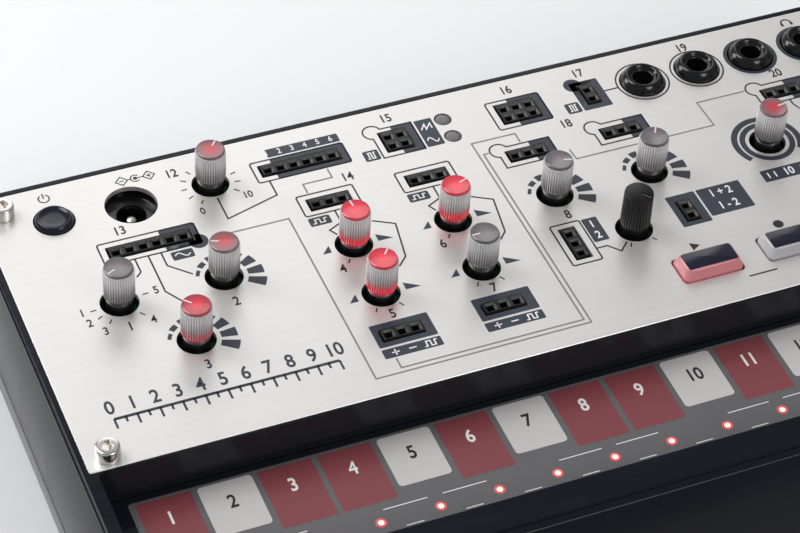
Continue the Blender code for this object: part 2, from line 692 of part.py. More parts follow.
def cut_base_holes(base):
    bore = CASE_HEAD_RADIUS + FIT_GAP
    seat = CASE_SCREW_SEAT
    screw_holes = []
    for corner in CORNERS:
        x, y = case_screw_place(corner)
        counterbore = disc(x, y, bore, (UNDERSIDE - OVERCUT, seat), SMALL_SIDES)
        through = disc(x, y, SCREW_SHANK_RADIUS + FIT_GAP, (seat - MERGE, SEAM + OVERCUT), SMALL_SIDES)
        screw_holes.append(join(counterbore, through))
    foot_z = (UNDERSIDE - OVERCUT, UNDERSIDE + FOOT_SUNK + FACE_GAP)
    foot_seats = [disc(x, y, FOOT_RADIUS + FIT_GAP, foot_z) for x in FEET_X for y in FEET_Y]
    slots = []
    reach = SPEAKER_RADIUS - 2 * SPEAKER_RIM
    for i in range(SLOT_COUNT):
        offset = (i - (SLOT_COUNT - 1) / 2) * SLOT_STEP
        length = 2 * math.sqrt(max(reach**2 - offset**2, reach**2 / 4))
        slot_z = (UNDERSIDE - OVERCUT, FLOOR + MERGE)
        slots.append(box_at(SPEAKER_X, SPEAKER_Y + offset, length, SLOT_WIDTH, slot_z))
    cut(base, group(screw_holes), group(foot_seats), group(slots))


def board_posts():
    return [
        (x, y)
        for x in (BOARD_X[0] + POST_INSET, BOARD_X[1] - POST_INSET)
        for y in (BOARD_Y[0] + POST_INSET, BOARD_Y[1] - POST_INSET)
    ]


def key_posts():
    left, right = PLATE_X[0] + POST_INSET, PLATE_X[1] - POST_INSET
    front, rear = PLATE_Y[0] + POST_INSET, PLATE_Y[1] - POST_INSET
    posts = [(x, y) for x in (left, right) for y in (front, rear)]
    posts += [(MIDDLE_X + side * BAY_HALF / 2, front) for side in (-1, 1)]
    return posts


def button_places():
    return [(name, BUTTON_FIRST_X + i * BUTTON_STEP) for i, name in enumerate(BUTTON_NAMES)]


def header_size(columns, rows):
    return columns * SOCKET_PITCH, rows * SOCKET_PITCH


def make_front_panel():
    sheet = box((0, PANEL_WIDTH), (0, PANEL_DEPTH), (PANEL_UNDER, PANEL_TOP))
    through = (PANEL_UNDER - OVERCUT, PANEL_TOP + OVERCUT)
    holes = [disc(x, y, KNOB_HOLE_RADIUS, through) for x, y, _, _ in KNOBS.values()]
    for x, y, columns, rows in HEADERS.values():
        width, length = header_size(columns, rows)
        holes.append(box_at(x, y, width + 2 * HEADER_MARGIN, length + 2 * HEADER_MARGIN, through))
    holes += [disc(x, TOP_ROW, JACK_COLLAR_RADIUS + FIT_GAP, through) for x in JACKS_X]
    holes += [disc(LAMP_X, y, LAMP_HOLE_RADIUS, through, SMALL_SIDES) for y in LAMPS_Y]
    holes += [disc(POWER_X, TOP_ROW, POWER_HOLE_RADIUS, through), disc(DC_X, DC_Y, DC_HOLE_RADIUS, through)]
    for _, x in button_places():
        half_x, half_y = BUTTON_HOLE_WIDTH / 2, BUTTON_HOLE_LENGTH / 2
        reach_x, reach_y = (x - half_x, x + half_x), (BUTTON_ROW - half_y, BUTTON_ROW + half_y)
        hole = rounded_outline(reach_x, reach_y, BUTTON_CORNER)
        holes.append(loft([(hole, through[0]), (hole, through[1])]))
    for corner in CORNERS:
        x, y = panel_screw_place(corner)
        holes.append(disc(x, y, SCREW_SHANK_RADIUS + FIT_GAP, through, SMALL_SIDES))
    cut(sheet, group(holes))
    return fixed_piece("front_panel", sheet, "panel_aluminium")


def make_keyboard():
    plate = box(PLATE_X, PLATE_Y, (PLATE_UNDER, KEYS_TOP))
    board = box(PLATE_X, PLATE_Y, (KEY_BOARD_UNDER, KEY_BOARD_TOP))
    fixed_piece("touch_plate", plate, "key_plate")
    fixed_piece("keyboard_board", board, "board_green")


def make_main_board():
    board = box(BOARD_X, BOARD_Y, (BOARD_UNDER, BOARD_TOP))
    root = BOARD_TOP - MERGE
    pot_z = (root, BOARD_TOP + POT_HEIGHT)
    bodies = [box_at(x, y, POT_SIZE, POT_SIZE, pot_z) for x, y, _, _ in KNOBS.values()]
    switches = [(x, BUTTON_ROW) for _, x in button_places()] + [(POWER_X, TOP_ROW)]
    bodies += [box_at(x, y, SWITCH_SIZE, SWITCH_SIZE, (root, SWITCH_TOP)) for x, y in switches]
    lamp_top = PANEL_TOP - LAMP_RADIUS
    for y in LAMPS_Y:
        profile = [(LAMP_RADIUS, root), (LAMP_RADIUS, lamp_top), (LAMP_TIP_RADIUS, PANEL_TOP - FACE_GAP)]
        bodies.append(turned(profile, SMALL_SIDES, LAMP_X, y))
    join(board, group(bodies))
    holes = [disc(x, y, POT_BORE_RADIUS, (root, PANEL_TOP), SMALL_SIDES) for x, y, _, _ in KNOBS.values()]
    through = (BOARD_UNDER - OVERCUT, BOARD_TOP + OVERCUT)
    width, length = JACK_BODY_WIDTH + 2 * FIT_GAP, JACK_BODY_LENGTH + 2 * FIT_GAP
    holes += [box_at(x, TOP_ROW, width, length, through) for x in JACKS_X]
    socket = DC_BODY_SIZE + 2 * FIT_GAP
    holes.append(box_at(DC_X, DC_Y, socket, socket, through))
    cut(board, group(holes))
    return fixed_piece("main_board", board, "board_green")


# Ribbed head, smooth skirt in the panel's hole, and a stem in the body on the board
def knob_mesh(name, clear):
    sides = 2 * KNOB_RIBS
    stem_foot = BOARD_TOP + FIT_GAP - PANEL_TOP
    skirt_foot = BOARD_TOP + POT_HEIGHT + FIT_GAP - PANEL_TOP
    if clear:
        top, radius, top_radius = CLEAR_KNOB_HEIGHT, CLEAR_KNOB_RADIUS, CLEAR_KNOB_RADIUS
    else:
        top, radius, top_radius = BLACK_KNOB_HEIGHT, BLACK_KNOB_RADIUS, BLACK_KNOB_TOP_RADIUS
    edge = top_radius - RIB_DEPTH
    knob = loft(
        [
            (circle(STEM_RADIUS, sides), stem_foot),
            (circle(STEM_RADIUS, sides), skirt_foot),
            (circle(CLEAR_SKIRT_RADIUS, sides), skirt_foot + FACE_GAP),
            (circle(CLEAR_SKIRT_RADIUS, sides), CLEAR_SKIRT_HEIGHT - RIB_DEPTH),
            (circle(radius, sides, RIB_DEPTH), CLEAR_SKIRT_HEIGHT),
            (circle(top_radius, sides, RIB_DEPTH), top - RIB_DEPTH),
            (circle(edge, sides), top),
        ]
    )
    half = POINTER_WIDTH / 2
    cut(knob, box((POINTER_START, radius + OVERCUT), (-half, half), (top - POINTER_DEPTH, top + OVERCUT)))
    return shared_mesh(knob, name, "knob_clear" if clear else "knob_black")


def make_knobs():
    meshes = {True: knob_mesh("clear_knob", True), False: knob_mesh("black_knob", False)}
    for name, (x, y, turn, clear) in KNOBS.items():
        copy_of(meshes[clear], name, x, y, PANEL_TOP, turn)


def make_buttons():
    half_x, half_y = BUTTON_HOLE_WIDTH / 2 - FIT_GAP, BUTTON_HOLE_LENGTH / 2 - FIT_GAP

    def outline(inset):
        x, y = half_x - inset, half_y - inset
        return rounded_outline((-x, x), (-y, y), BUTTON_CORNER)

    shoulder = BUTTON_HEIGHT - BUTTON_DRAFT
    cap = loft(
        [
            (outline(0), FLANGE_TOP - PANEL_TOP - MERGE),
            (outline(0), 0),
            (outline(BUTTON_DRAFT), shoulder),
            (outline(2 * BUTTON_DRAFT), BUTTON_HEIGHT),
        ]
    )
    flange_x, flange_y = BUTTON_HOLE_WIDTH + 2 * FLANGE_WIDTH, BUTTON_HOLE_LENGTH + 2 * FLANGE_WIDTH
    flange = box_at(0, 0, flange_x, flange_y, (FLANGE_UNDER - PANEL_TOP, FLANGE_TOP - PANEL_TOP))
    stem_z = (PRESS_END - PANEL_TOP, FLANGE_UNDER - PANEL_TOP + MERGE)
    stem = box_at(0, 0, BUTTON_STEM_SIZE, BUTTON_STEM_SIZE, stem_z)
    mesh = shared_mesh(join(cap, flange, stem), "button", "button_frosted")
    for name, x in button_places():
        copy_of(mesh, name, x, BUTTON_ROW, PANEL_TOP)


def make_power_button():
    shoulder = POWER_HOLE_RADIUS - FIT_GAP
    flange = POWER_HOLE_RADIUS + FLANGE_WIDTH
    stem = BUTTON_STEM_SIZE / 2
    profile = [
        (stem, PRESS_END),
        (stem, FLANGE_UNDER),
        (flange, FLANGE_UNDER + FACE_GAP),
        (flange, FLANGE_TOP),
        (shoulder, FLANGE_TOP + FACE_GAP),
        (shoulder, PANEL_TOP),
        (POWER_TOP_RADIUS, PANEL_TOP + POWER_HEIGHT),
    ]
    cap = turned([(radius, z - PANEL_TOP) for radius, z in profile], ROUND_SIDES)
    copy_of(shared_mesh(cap, "power_cap", "power_navy"), "power_button", POWER_X, TOP_ROW, PANEL_TOP)


def make_headers():
    meshes = {}
    for name, (x, y, columns, rows) in HEADERS.items():
        if (columns, rows) not in meshes:
            width, length = header_size(columns, rows)
            body = box_at(0, 0, width, length, (BOARD_TOP + FIT_GAP, PANEL_TOP + HEADER_PROUD))
            mouth = (PANEL_TOP - SOCKET_DEPTH, PANEL_TOP + OVERCUT)
            sockets = []
            for i, j in itertools.product(range(columns), range(rows)):
                socket_x = (i - (columns - 1) / 2) * SOCKET_PITCH
                socket_y = (j - (rows - 1) / 2) * SOCKET_PITCH
                sockets.append(box_at(socket_x, socket_y, SOCKET_SIZE, SOCKET_SIZE, mouth))
            cut(body, group(sockets))
            meshes[columns, rows] = shared_mesh(body, f"header_{columns}x{rows}", "socket_black")
        copy_of(meshes[columns, rows], name, x, y)


def make_jacks():
    foot = PANEL_TOP - JACK_BODY_DEPTH
    body_top = PANEL_UNDER - FIT_GAP
    body = box_at(0, 0, JACK_BODY_WIDTH, JACK_BODY_LENGTH, (foot, body_top))
    edge = PANEL_TOP + JACK_EDGE
    profile = [(JACK_COLLAR_RADIUS, body_top - MERGE)]
    for step in range(DOME_STEPS + 1):
        angle = math.pi / 2 * step / DOME_STEPS
        radius = between(JACK_RING_RADIUS, JACK_COLLAR_RADIUS, math.cos(angle))
        profile.append((radius, between(edge, PANEL_TOP + JACK_PROUD, math.sin(angle))))
    collar = turned(profile, ROUND_SIDES)
    bore = disc(0, 0, JACK_BORE_RADIUS, (foot + JACK_FLOOR, PANEL_TOP + JACK_PROUD + OVERCUT), SMALL_SIDES)
    mesh = shared_mesh(cut(join(body, collar), bore), "jack", "socket_black")
    for i, x in enumerate(JACKS_X):
        copy_of(mesh, f"jack_{i + 1}", x, TOP_ROW)


def make_dc_jack():
    foot = PANEL_TOP - JACK_BODY_DEPTH
    well = PANEL_TOP - DC_WELL_DEPTH
    body = box_at(DC_X, DC_Y, DC_BODY_SIZE, DC_BODY_SIZE, (foot, well))
    collar_radius = DC_HOLE_RADIUS + DC_COLLAR_WALL
    collar = disc(DC_X, DC_Y, collar_radius, (well - MERGE, PANEL_UNDER - FIT_GAP))
    cut(collar, disc(DC_X, DC_Y, DC_HOLE_RADIUS, (well, PANEL_TOP)))
    join(body, collar)
    bore_foot = foot + JACK_FLOOR
    cut(body, disc(DC_X, DC_Y, DC_BORE_RADIUS, (bore_foot, well + MERGE)))
    pin = disc(DC_X, DC_Y, DC_PIN_RADIUS, (bore_foot - MERGE, well - DC_PIN_BELOW_WELL), SMALL_SIDES)
    return fixed_piece("dc_jack", join(body, pin), "socket_black")


def make_screws():
    head_foot = FACE_GAP
    head_top = FACE_GAP + PANEL_HEAD_HEIGHT
    screw = turned(
        [
            (SCREW_SHANK_RADIUS, -PANEL_SCREW_LENGTH),
            (SCREW_SHANK_RADIUS, head_foot - FACE_GAP / 2),
            (PANEL_HEAD_RADIUS, head_foot),
            (PANEL_HEAD_RADIUS, head_top - FACE_GAP),
            (PANEL_HEAD_RADIUS - FACE_GAP, head_top),
        ],
        ROUND_SIDES,
    )
    cut(screw, turned([(HEX_RADIUS, head_top - HEX_DEPTH), (HEX_RADIUS, head_top + OVERCUT)], 6))
    mesh = shared_mesh(screw, "panel_screw", "screw_steel")
    for corner in CORNERS:
        x, y = panel_screw_place(corner)
        copy_of(mesh, f"panel_screw_{corner}", x, y, PANEL_TOP)

    seat = CASE_SCREW_SEAT - FACE_GAP
    screw = turned(
        [
            (CASE_HEAD_RADIUS, seat - CASE_HEAD_HEIGHT),
            (CASE_HEAD_RADIUS, seat),
            (SCREW_SHANK_RADIUS, seat + FACE_GAP / 2),
            (SCREW_SHANK_RADIUS, seat + CASE_SCREW_LENGTH),
        ],
        SMALL_SIDES,
    )
    slot_z = (seat - CASE_HEAD_HEIGHT - OVERCUT, seat - CASE_HEAD_HEIGHT + CROSS_DEPTH)
    cut(screw, box_at(0, 0, CROSS_LENGTH, CROSS_WIDTH, slot_z))
    cut(screw, box_at(0, 0, CROSS_WIDTH, CROSS_LENGTH, slot_z))
    mesh = shared_mesh(screw, "case_screw", "screw_steel")
    for corner in CORNERS:
        x, y = case_screw_place(corner)
        copy_of(mesh, f"case_screw_{corner}", x, y)


def make_feet():
    profile = [(FOOT_RADIUS - FACE_GAP, 0), (FOOT_RADIUS, FACE_GAP), (FOOT_RADIUS, UNDERSIDE + FOOT_SUNK)]
    mesh = shared_mesh(turned(profile, ROUND_SIDES), "foot", "foot_rubber")
    for corner, (right, back) in CORNERS.items():
        copy_of(mesh, f"foot_{corner}", FEET_X[right], FEET_Y[back])


def make_battery_door():
    plate = box((MIDDLE_X - DOOR_HALF, MIDDLE_X + DOOR_HALF), DOOR_Y, (UNDERSIDE, DOOR_TOP))
    tongue_half = DOOR_HALF + DOOR_TONGUE
    tongue_z = (DOOR_TOP - DOOR_TONGUE_THICKNESS, DOOR_TOP - FACE_GAP / 2)
    tongue_y = (DOOR_Y[0] + MERGE, DOOR_Y[1] - MERGE)
    join(plate, box((MIDDLE_X - tongue_half, MIDDLE_X + tongue_half), tongue_y, tongue_z))
    grip_z = (UNDERSIDE - OVERCUT, UNDERSIDE + GRIP_DEPTH)
    grooves = []
    for i in range(GRIP_GROOVES):
        grooves.append(box_at(MIDDLE_X, DOOR_Y[1] - (i + 1) * GRIP_STEP, GRIP_LENGTH, GRIP_WIDTH, grip_z))
    cut(plate, group(grooves))
    return fixed_piece("battery_door", plate, "case_black")


# Nickel strip at each end of the cells, with a stud for each cell
def make_contacts():
    half = BAY_HALF - FIT_GAP
    middle = (DOOR_TOP + BAY_CEILING) / 2
    ends = (("contacts_front", BAY_FRONT, 1), ("contacts_rear", BAY_REAR, -1))
    for name, wall, inward in ends:
        back = wall + inward * FIT_GAP
        face = back + inward * CONTACT_THICKNESS
        strip_z = (DOOR_TOP + 2 * FIT_GAP, BAY_CEILING - FIT_GAP)
        strip = box((MIDDLE_X - half, MIDDLE_X + half), (min(back, face), max(back, face)), strip_z)
        reach = CONTACT_DEPTH - FIT_GAP - CONTACT_THICKNESS
        studs = []
        for i in range(CELL_COUNT):
            x = MIDDLE_X + (i - (CELL_COUNT - 1) / 2) * (CELL_DIAMETER + CELL_PLAY)
            stud = turned([(STUD_RADIUS, -CONTACT_THICKNESS / 2), (STUD_TIP_RADIUS, reach)], SMALL_SIDES)
            stud.data.transform(Matrix.Rotation(-inward * math.pi / 2, 4, "X"))
            stud.data.transform(Matrix.Translation((x, face, middle)))
            studs.append(stud)
        fixed_piece(name, join(strip, group(studs)), "contact_nickel")


def make_speaker():
    low = FLOOR + FIT_GAP
    basket = turned(
        [
            (SPEAKER_RADIUS, low),
            (SPEAKER_RADIUS, low + SPEAKER_RIM),
            (MAGNET_RADIUS, low + BASKET_HEIGHT),
            (MAGNET_RADIUS, FLOOR + SPEAKER_HEIGHT),
        ],
        ROUND_SIDES,
        SPEAKER_X,
        SPEAKER_Y,
    )
    cone_radius = SPEAKER_RADIUS - SPEAKER_RIM
    profile = [(cone_radius, low - OVERCUT), (cone_radius, low), (CONE_TIP_RADIUS, low + CONE_DEPTH)]
    cut(basket, turned(profile, ROUND_SIDES, SPEAKER_X, SPEAKER_Y))
    return fixed_piece("speaker", basket, "speaker_grey")


# Flat ribbon between the two boards, hanging in a shallow loop under them
def make_ribbon():
    start = Vector((PLATE_Y[1] - RIBBON_OVERLAP, KEY_BOARD_UNDER - FIT_GAP))
    end = Vector((BOARD_Y[0] + RIBBON_OVERLAP, BOARD_UNDER - FIT_GAP))
    upper, lower = [], []
    for i in range(RIBBON_STEPS + 1):
        share = i / RIBBON_STEPS
        point = start.lerp(end, share)
        point.y -= RIBBON_SLACK * math.sin(math.pi * share) ** 2
        upper.append(point)
        lower.append(point - Vector((0, RIBBON_THICKNESS)))
    outline = upper + lower[::-1]
    left = MIDDLE_X + BAY_HALF + RIBBON_WIDTH
    bm = bmesh.new()
    face = bm.faces.new([bm.verts.new((left, y, z)) for y, z in outline])
    extruded = bmesh.ops.extrude_face_region(bm, geom=[face])
    moved = [item for item in extruded["geom"] if isinstance(item, bmesh.types.BMVert)]
    bmesh.ops.translate(bm, vec=(RIBBON_WIDTH, 0, 0), verts=moved)
    return fixed_piece("ribbon_cable", solid(bm), "ribbon_grey")


def main():
    clear_scene()
    make_bottom_case()
    make_top_shell()
    make_front_panel()
    make_keyboard()
    make_main_board()
    make_knobs()
    make_buttons()
    make_power_button()
    make_headers()
    make_jacks()
    make_dc_jack()
    make_screws()
    make_feet()
    make_battery_door()
    make_contacts()
    make_speaker()
    make_ribbon()


main()
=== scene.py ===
import json
import math

import bmesh
import bpy
from mathutils import Matrix, Vector


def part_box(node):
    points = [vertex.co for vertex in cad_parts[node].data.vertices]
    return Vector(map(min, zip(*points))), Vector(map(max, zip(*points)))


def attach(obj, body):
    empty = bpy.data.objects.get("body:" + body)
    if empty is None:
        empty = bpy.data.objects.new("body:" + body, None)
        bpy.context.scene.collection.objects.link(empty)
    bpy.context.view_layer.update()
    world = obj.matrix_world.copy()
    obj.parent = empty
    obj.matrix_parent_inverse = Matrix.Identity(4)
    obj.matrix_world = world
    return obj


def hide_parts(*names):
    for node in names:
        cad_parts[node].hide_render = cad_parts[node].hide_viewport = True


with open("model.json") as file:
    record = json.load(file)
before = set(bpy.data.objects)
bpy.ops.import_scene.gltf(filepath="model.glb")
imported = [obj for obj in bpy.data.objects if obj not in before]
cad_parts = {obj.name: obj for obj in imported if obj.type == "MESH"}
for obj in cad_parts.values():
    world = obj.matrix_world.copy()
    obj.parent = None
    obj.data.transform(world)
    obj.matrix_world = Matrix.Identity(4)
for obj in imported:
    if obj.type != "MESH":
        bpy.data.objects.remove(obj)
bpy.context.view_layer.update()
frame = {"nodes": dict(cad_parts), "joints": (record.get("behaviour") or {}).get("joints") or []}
mm = 0.001

# Places are in millimetres from the panel's front left corner on its upper face
panelLow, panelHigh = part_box("front_panel")
panelTop = panelHigh.z
panelWide = (panelHigh.x - panelLow.x) / mm
panelDeep = (panelHigh.y - panelLow.y) / mm
sheetX, sheetY = (0, panelWide), (0, panelDeep)
keysDrop = (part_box("touch_plate")[1].z - panelTop) / mm
socketPitch = 2.54
past = 1.0  # how far a cutter reaches past what it cuts
jointPlace = {joint["child"]: joint.get("pos_m") for joint in frame["joints"]}


def onPanel(x, y, z=0.0):
    return Vector((panelLow.x + x * mm, panelLow.y + y * mm, panelTop + z * mm))


def panelSpan(node):
    low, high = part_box(node)
    corner = Vector((panelLow.x, panelLow.y, panelTop))
    return (low - corner) / mm, (high - corner) / mm


def middleOf(node):
    low, high = panelSpan(node)
    return (low.x + high.x) / 2, (low.y + high.y) / 2


# The camera stands where the photograph was taken from
camera = {
    "lens": 123.8,
    "sensor": 36.0,
    "clip": (0.01, 20),
    "eye": (-80.83, -290.31, 343.3),
    "azimuth": -24.868,
    "elevation": 44.368,
    "roll": 3.791,
}


def makeCamera():
    data = bpy.data.cameras.new("viewCamera")
    data.lens, data.sensor_width = camera["lens"], camera["sensor"]
    data.clip_start, data.clip_end = camera["clip"]
    obj = bpy.data.objects.new("viewCamera", data)
    bpy.context.scene.collection.objects.link(obj)
    turn, rise, roll = (math.radians(camera[key]) for key in ("azimuth", "elevation", "roll"))
    back = Vector((math.sin(turn) * math.cos(rise), -math.cos(turn) * math.cos(rise), math.sin(rise)))
    right = Vector((0, 0, 1)).cross(back).normalized()
    up = back.cross(right)
    tiltedRight = math.cos(roll) * right + math.sin(roll) * up
    tiltedUp = math.cos(roll) * up - math.sin(roll) * right
    facing = Matrix((tiltedRight, tiltedUp, back)).transposed().to_4x4()
    obj.matrix_world = Matrix.Translation(onPanel(*camera["eye"])) @ facing
    bpy.context.scene.camera = obj


makeCamera()
print("camera placed")


# Wraps a socket, so that shader maths reads as plain sums
class Wire:
    def __init__(self, paint, socket):
        self.paint, self.socket = paint, socket

    def sum(self, operation, first, second):
        return self.paint.node("ShaderNodeMath", {"operation": operation}, {0: first, 1: second})

    def __add__(self, other):
        return self.sum("ADD", self, other)

    def __sub__(self, other):
        return self.sum("SUBTRACT", self, other)

    def __rsub__(self, other):
        return self.sum("SUBTRACT", other, self)

    def __mul__(self, other):
        return self.sum("MULTIPLY", self, other)

    __radd__ = __add__
    __rmul__ = __mul__


# One material: its nodes come from node(), and surface() sets the shader's own sockets
class Paint:
    def __init__(self, name):
        self.material = bpy.data.materials.new(name)
        self.material.use_nodes = True
        self.tree = self.material.node_tree
        self.shader = self.tree.nodes["Principled BSDF"]

    def node(self, kind, settings=None, sockets=None, out=0):
        made = self.tree.nodes.new(kind)
        for name, value in (settings or {}).items():
            setattr(made, name, value)
        for name, value in (sockets or {}).items():
            self.feed(made.inputs[name], value)
        return Wire(self, made.outputs[out])

    def feed(self, socket, value):
        if isinstance(value, Wire):
            self.tree.links.new(value.socket, socket)
        else:
            socket.default_value = value

    def surface(self, **sockets):
        for name, value in sockets.items():
            self.feed(self.shader.inputs[spacedName(name)], value)

    def place(self):
        return self.node("ShaderNodeTexCoord", out="Object")

    def noise(self, place, scale, detail=3.0):
        return self.node("ShaderNodeTexNoise", None, {"Vector": place, "Scale": scale, "Detail": detail})

    def stretched(self, place, scale):
        return self.node("ShaderNodeMapping", None, {"Vector": place, "Scale": scale})

    def mix(self, factor, first, second):
        return self.node("ShaderNodeMix", {"data_type": "RGBA"}, {0: factor, 6: first, 7: second}, out=2)

    def vector(self, operation, *values, out=0):
        return self.node("ShaderNodeVectorMath", {"operation": operation}, dict(enumerate(values)), out)

    def smooth(self, value, low, high):
        settings = {"interpolation_type": "SMOOTHSTEP"}
        return self.node("ShaderNodeMapRange", settings, {0: value, 1: low, 2: high})

    def bump(self, height, distance, strength=1.0):
        sockets = {"Height": height, "Distance": distance, "Strength": strength}
        return self.node("ShaderNodeBump", None, sockets, out="Normal")


# Turns baseColor into the shader's own name, Base Color
def spacedName(name):
    spaced = "".join(" " + letter if letter.isupper() else letter for letter in name)
    return (spaced[0].upper() + spaced[1:]).replace("Ior", "IOR").replace("I O R", "IOR")


def shaded(colour, share):
    return (*[min(1.0, part * share) for part in colour[:3]], 1.0)


# Moulded or printed plastic: broad tone drift, a fine grain and a little bump
def plastic(
    name, colour, roughness, grain=900.0, depth=0.004, vary=0.10,
    coat=0.0, clear=0.0, shine=0.5, glow=0.0, lit=None,
):
    paint = Paint(name)
    place = paint.place()
    broad = paint.noise(place, grain / 10)
    fine = paint.noise(place, grain, 5.0)
    tone = paint.mix(broad, shaded(colour, 1 - vary), shaded(colour, 1 + vary))
    paint.surface(baseColor=tone, roughness=roughness * 0.75 + fine * (roughness * 0.5))
    paint.surface(normal=paint.bump(fine, depth * mm, 0.6))
    paint.surface(coatWeight=coat, coatRoughness=0.06, transmissionWeight=clear, specularIORLevel=shine)
    if glow:
        paint.surface(emissionColor=(*(lit or colour), 1.0), emissionStrength=glow)
    return paint.material


# Gloss case plastic, with soft ripples in the skin and faint wiping marks in its polish
def caseGloss():
    paint = Paint("caseGloss")
    place = paint.place()
    ripple = paint.noise(place, 260.0, 2.0)
    wiped = paint.noise(paint.stretched(place, (60.0, 320.0, 120.0)), 1.0, 6.0)
    dust = paint.noise(place, 5200.0, 2.0)
    tone = paint.mix(wiped, (0.0045, 0.0050, 0.0085, 1), (0.0085, 0.0090, 0.0150, 1))
    paint.surface(baseColor=tone, roughness=0.13 + wiped * 0.12 + dust * 0.04)
    paint.surface(normal=paint.bump(ripple, 0.012 * mm, 0.5), specularIORLevel=0.16)
    return paint.material


# Brushed metal, with its grain along the panel's length
def brushedPanel():
    paint = Paint("brushedPanel")
    place = paint.place()
    longGrain = paint.noise(paint.stretched(place, (45.0, 5200.0, 800.0)), 1.0, 4.0)
    shortGrain = paint.noise(paint.stretched(place, (420.0, 9000.0, 900.0)), 1.0, 2.0)
    cloud = paint.noise(place, 28.0, 2.0)
    grain = longGrain * 0.65 + shortGrain * 0.35
    tone = paint.mix(grain, (0.67, 0.655, 0.63, 1), (0.82, 0.805, 0.78, 1))
    paint.surface(baseColor=tone, metallic=0.72, roughness=0.30 + grain * 0.16 + cloud * 0.06)
    paint.surface(normal=paint.bump(grain, 0.004 * mm, 0.7))
    return paint.material


def turnedSteel(name, colour=(0.72, 0.69, 0.66), roughness=0.20):
    paint = Paint(name)
    place = paint.place()
    scuffs = paint.noise(paint.stretched(place, (900.0, 900.0, 6500.0)), 1.0, 4.0)
    tone = paint.mix(scuffs, shaded(colour, 0.82), shaded(colour, 1.12))
    paint.surface(baseColor=tone, metallic=1.0, roughness=roughness * 0.6 + scuffs * roughness * 0.9)
    paint.surface(normal=paint.bump(scuffs, 0.003 * mm, 0.5))
    return paint.material


# Solder mask over copper: a darker ground with the tracks just showing
def boardMask():
    paint = Paint("boardMask")
    place = paint.place()
    tracks = paint.node("ShaderNodeTexBrick", None, {"Vector": place, "Scale": 90.0}, out="Fac")
    speck = paint.noise(place, 1500.0)
    tone = paint.mix(tracks, (0.010, 0.055, 0.026, 1), (0.022, 0.105, 0.045, 1))
    paint.surface(baseColor=tone, roughness=0.32 + speck * 0.2, normal=paint.bump(tracks, 0.03 * mm, 0.5))
    return paint.material


# Height above the panel, from 0 at low to 1 at high
def risen(paint, place, low, high):
    height = paint.node("ShaderNodeSeparateXYZ", None, {0: place}, out=2)
    return paint.smooth(height, panelTop + low * mm, panelTop + high * mm)


# Heights between which the clear moulding's painted light changes: painted shade below the haze, a painted
# reflection of the dark hole on the skirt, and a painted red glow between redFrom and redTo
clearPaintedLightBands = {"haze": (2.6, 7.2), "skirt": (1.7, 2.7), "redFrom": (1.2, 2.3), "redTo": (2.9, 4.6)}


# Clear moulding: painted shade darkens it towards the foot of the ribs, a painted reflection of the dark
# hole below turns the skirt near black, and a painted red glow from the lamp below lies on the foot of the
# ribs
def clearMoulding(name, red=0.0):
    paint = Paint(name)
    place = paint.place()
    streak = paint.noise(paint.stretched(place, (2400.0, 2400.0, 160.0)), 1.0, 3.0)
    cloud = paint.noise(place, 700.0, 2.0)
    haze = paint.mix(cloud, (0.78, 0.765, 0.77, 1), (0.93, 0.92, 0.92, 1))
    # painted light and shade: a pale haze at the top, darkening to mid grey towards the foot of the ribs
    tone = paint.mix(risen(paint, place, *clearPaintedLightBands["haze"]), (0.26, 0.25, 0.255, 1), haze)
    # painted reflection: the skirt turns near black where it would mirror the dark hole below
    tone = paint.mix(risen(paint, place, *clearPaintedLightBands["skirt"]), (0.012, 0.011, 0.012, 1), tone)
    if red:
        # painted red glow from the lamp below, in both the base colour and the emission
        risingPaintedGlow = risen(paint, place, *clearPaintedLightBands["redFrom"])
        paintedGlowBand = risingPaintedGlow * (1 - risen(paint, place, *clearPaintedLightBands["redTo"])) * red
        tone = paint.mix(paintedGlowBand, tone, (0.62, 0.03, 0.05, 1))
        glow = paint.mix(paintedGlowBand, (0, 0, 0, 1), (0.75, 0.03, 0.05, 1))
        paint.surface(emissionColor=glow, emissionStrength=0.35)
    paint.surface(baseColor=tone, roughness=0.07 + streak * 0.10, transmissionWeight=0.22, ior=1.49)
    paint.surface(normal=paint.bump(streak, 0.004 * mm, 0.5), coatWeight=0.35, coatRoughness=0.05)
    return paint.material


# A translucent cap with a painted red glow, in its colour and its emission, reddest over the lamp at its
# middle
def paintedGlowCap(name, x, y, radius, heart, brim, glow):
    paint = Paint(name)
    place = paint.place()
    middle = onPanel(x, y)
    offset = paint.vector("SUBTRACT", place, (middle.x, middle.y, 0))
    flat = paint.vector("MULTIPLY", offset, (1, 1, 0))
    share = paint.smooth(paint.vector("LENGTH", flat, out="Value"), 0.0, radius * mm)
    cloud = paint.noise(place, 900.0, 3.0)
    tone = paint.mix(share, heart, brim)
    tone = paint.mix(cloud * 0.3, tone, shaded(brim, 0.6))
    paint.surface(baseColor=tone, roughness=0.12 + cloud * 0.12, coatWeight=0.3, coatRoughness=0.06)
    paint.surface(normal=paint.bump(cloud, 0.01 * mm, 0.3), emissionColor=tone, emissionStrength=glow)
    return paint.material


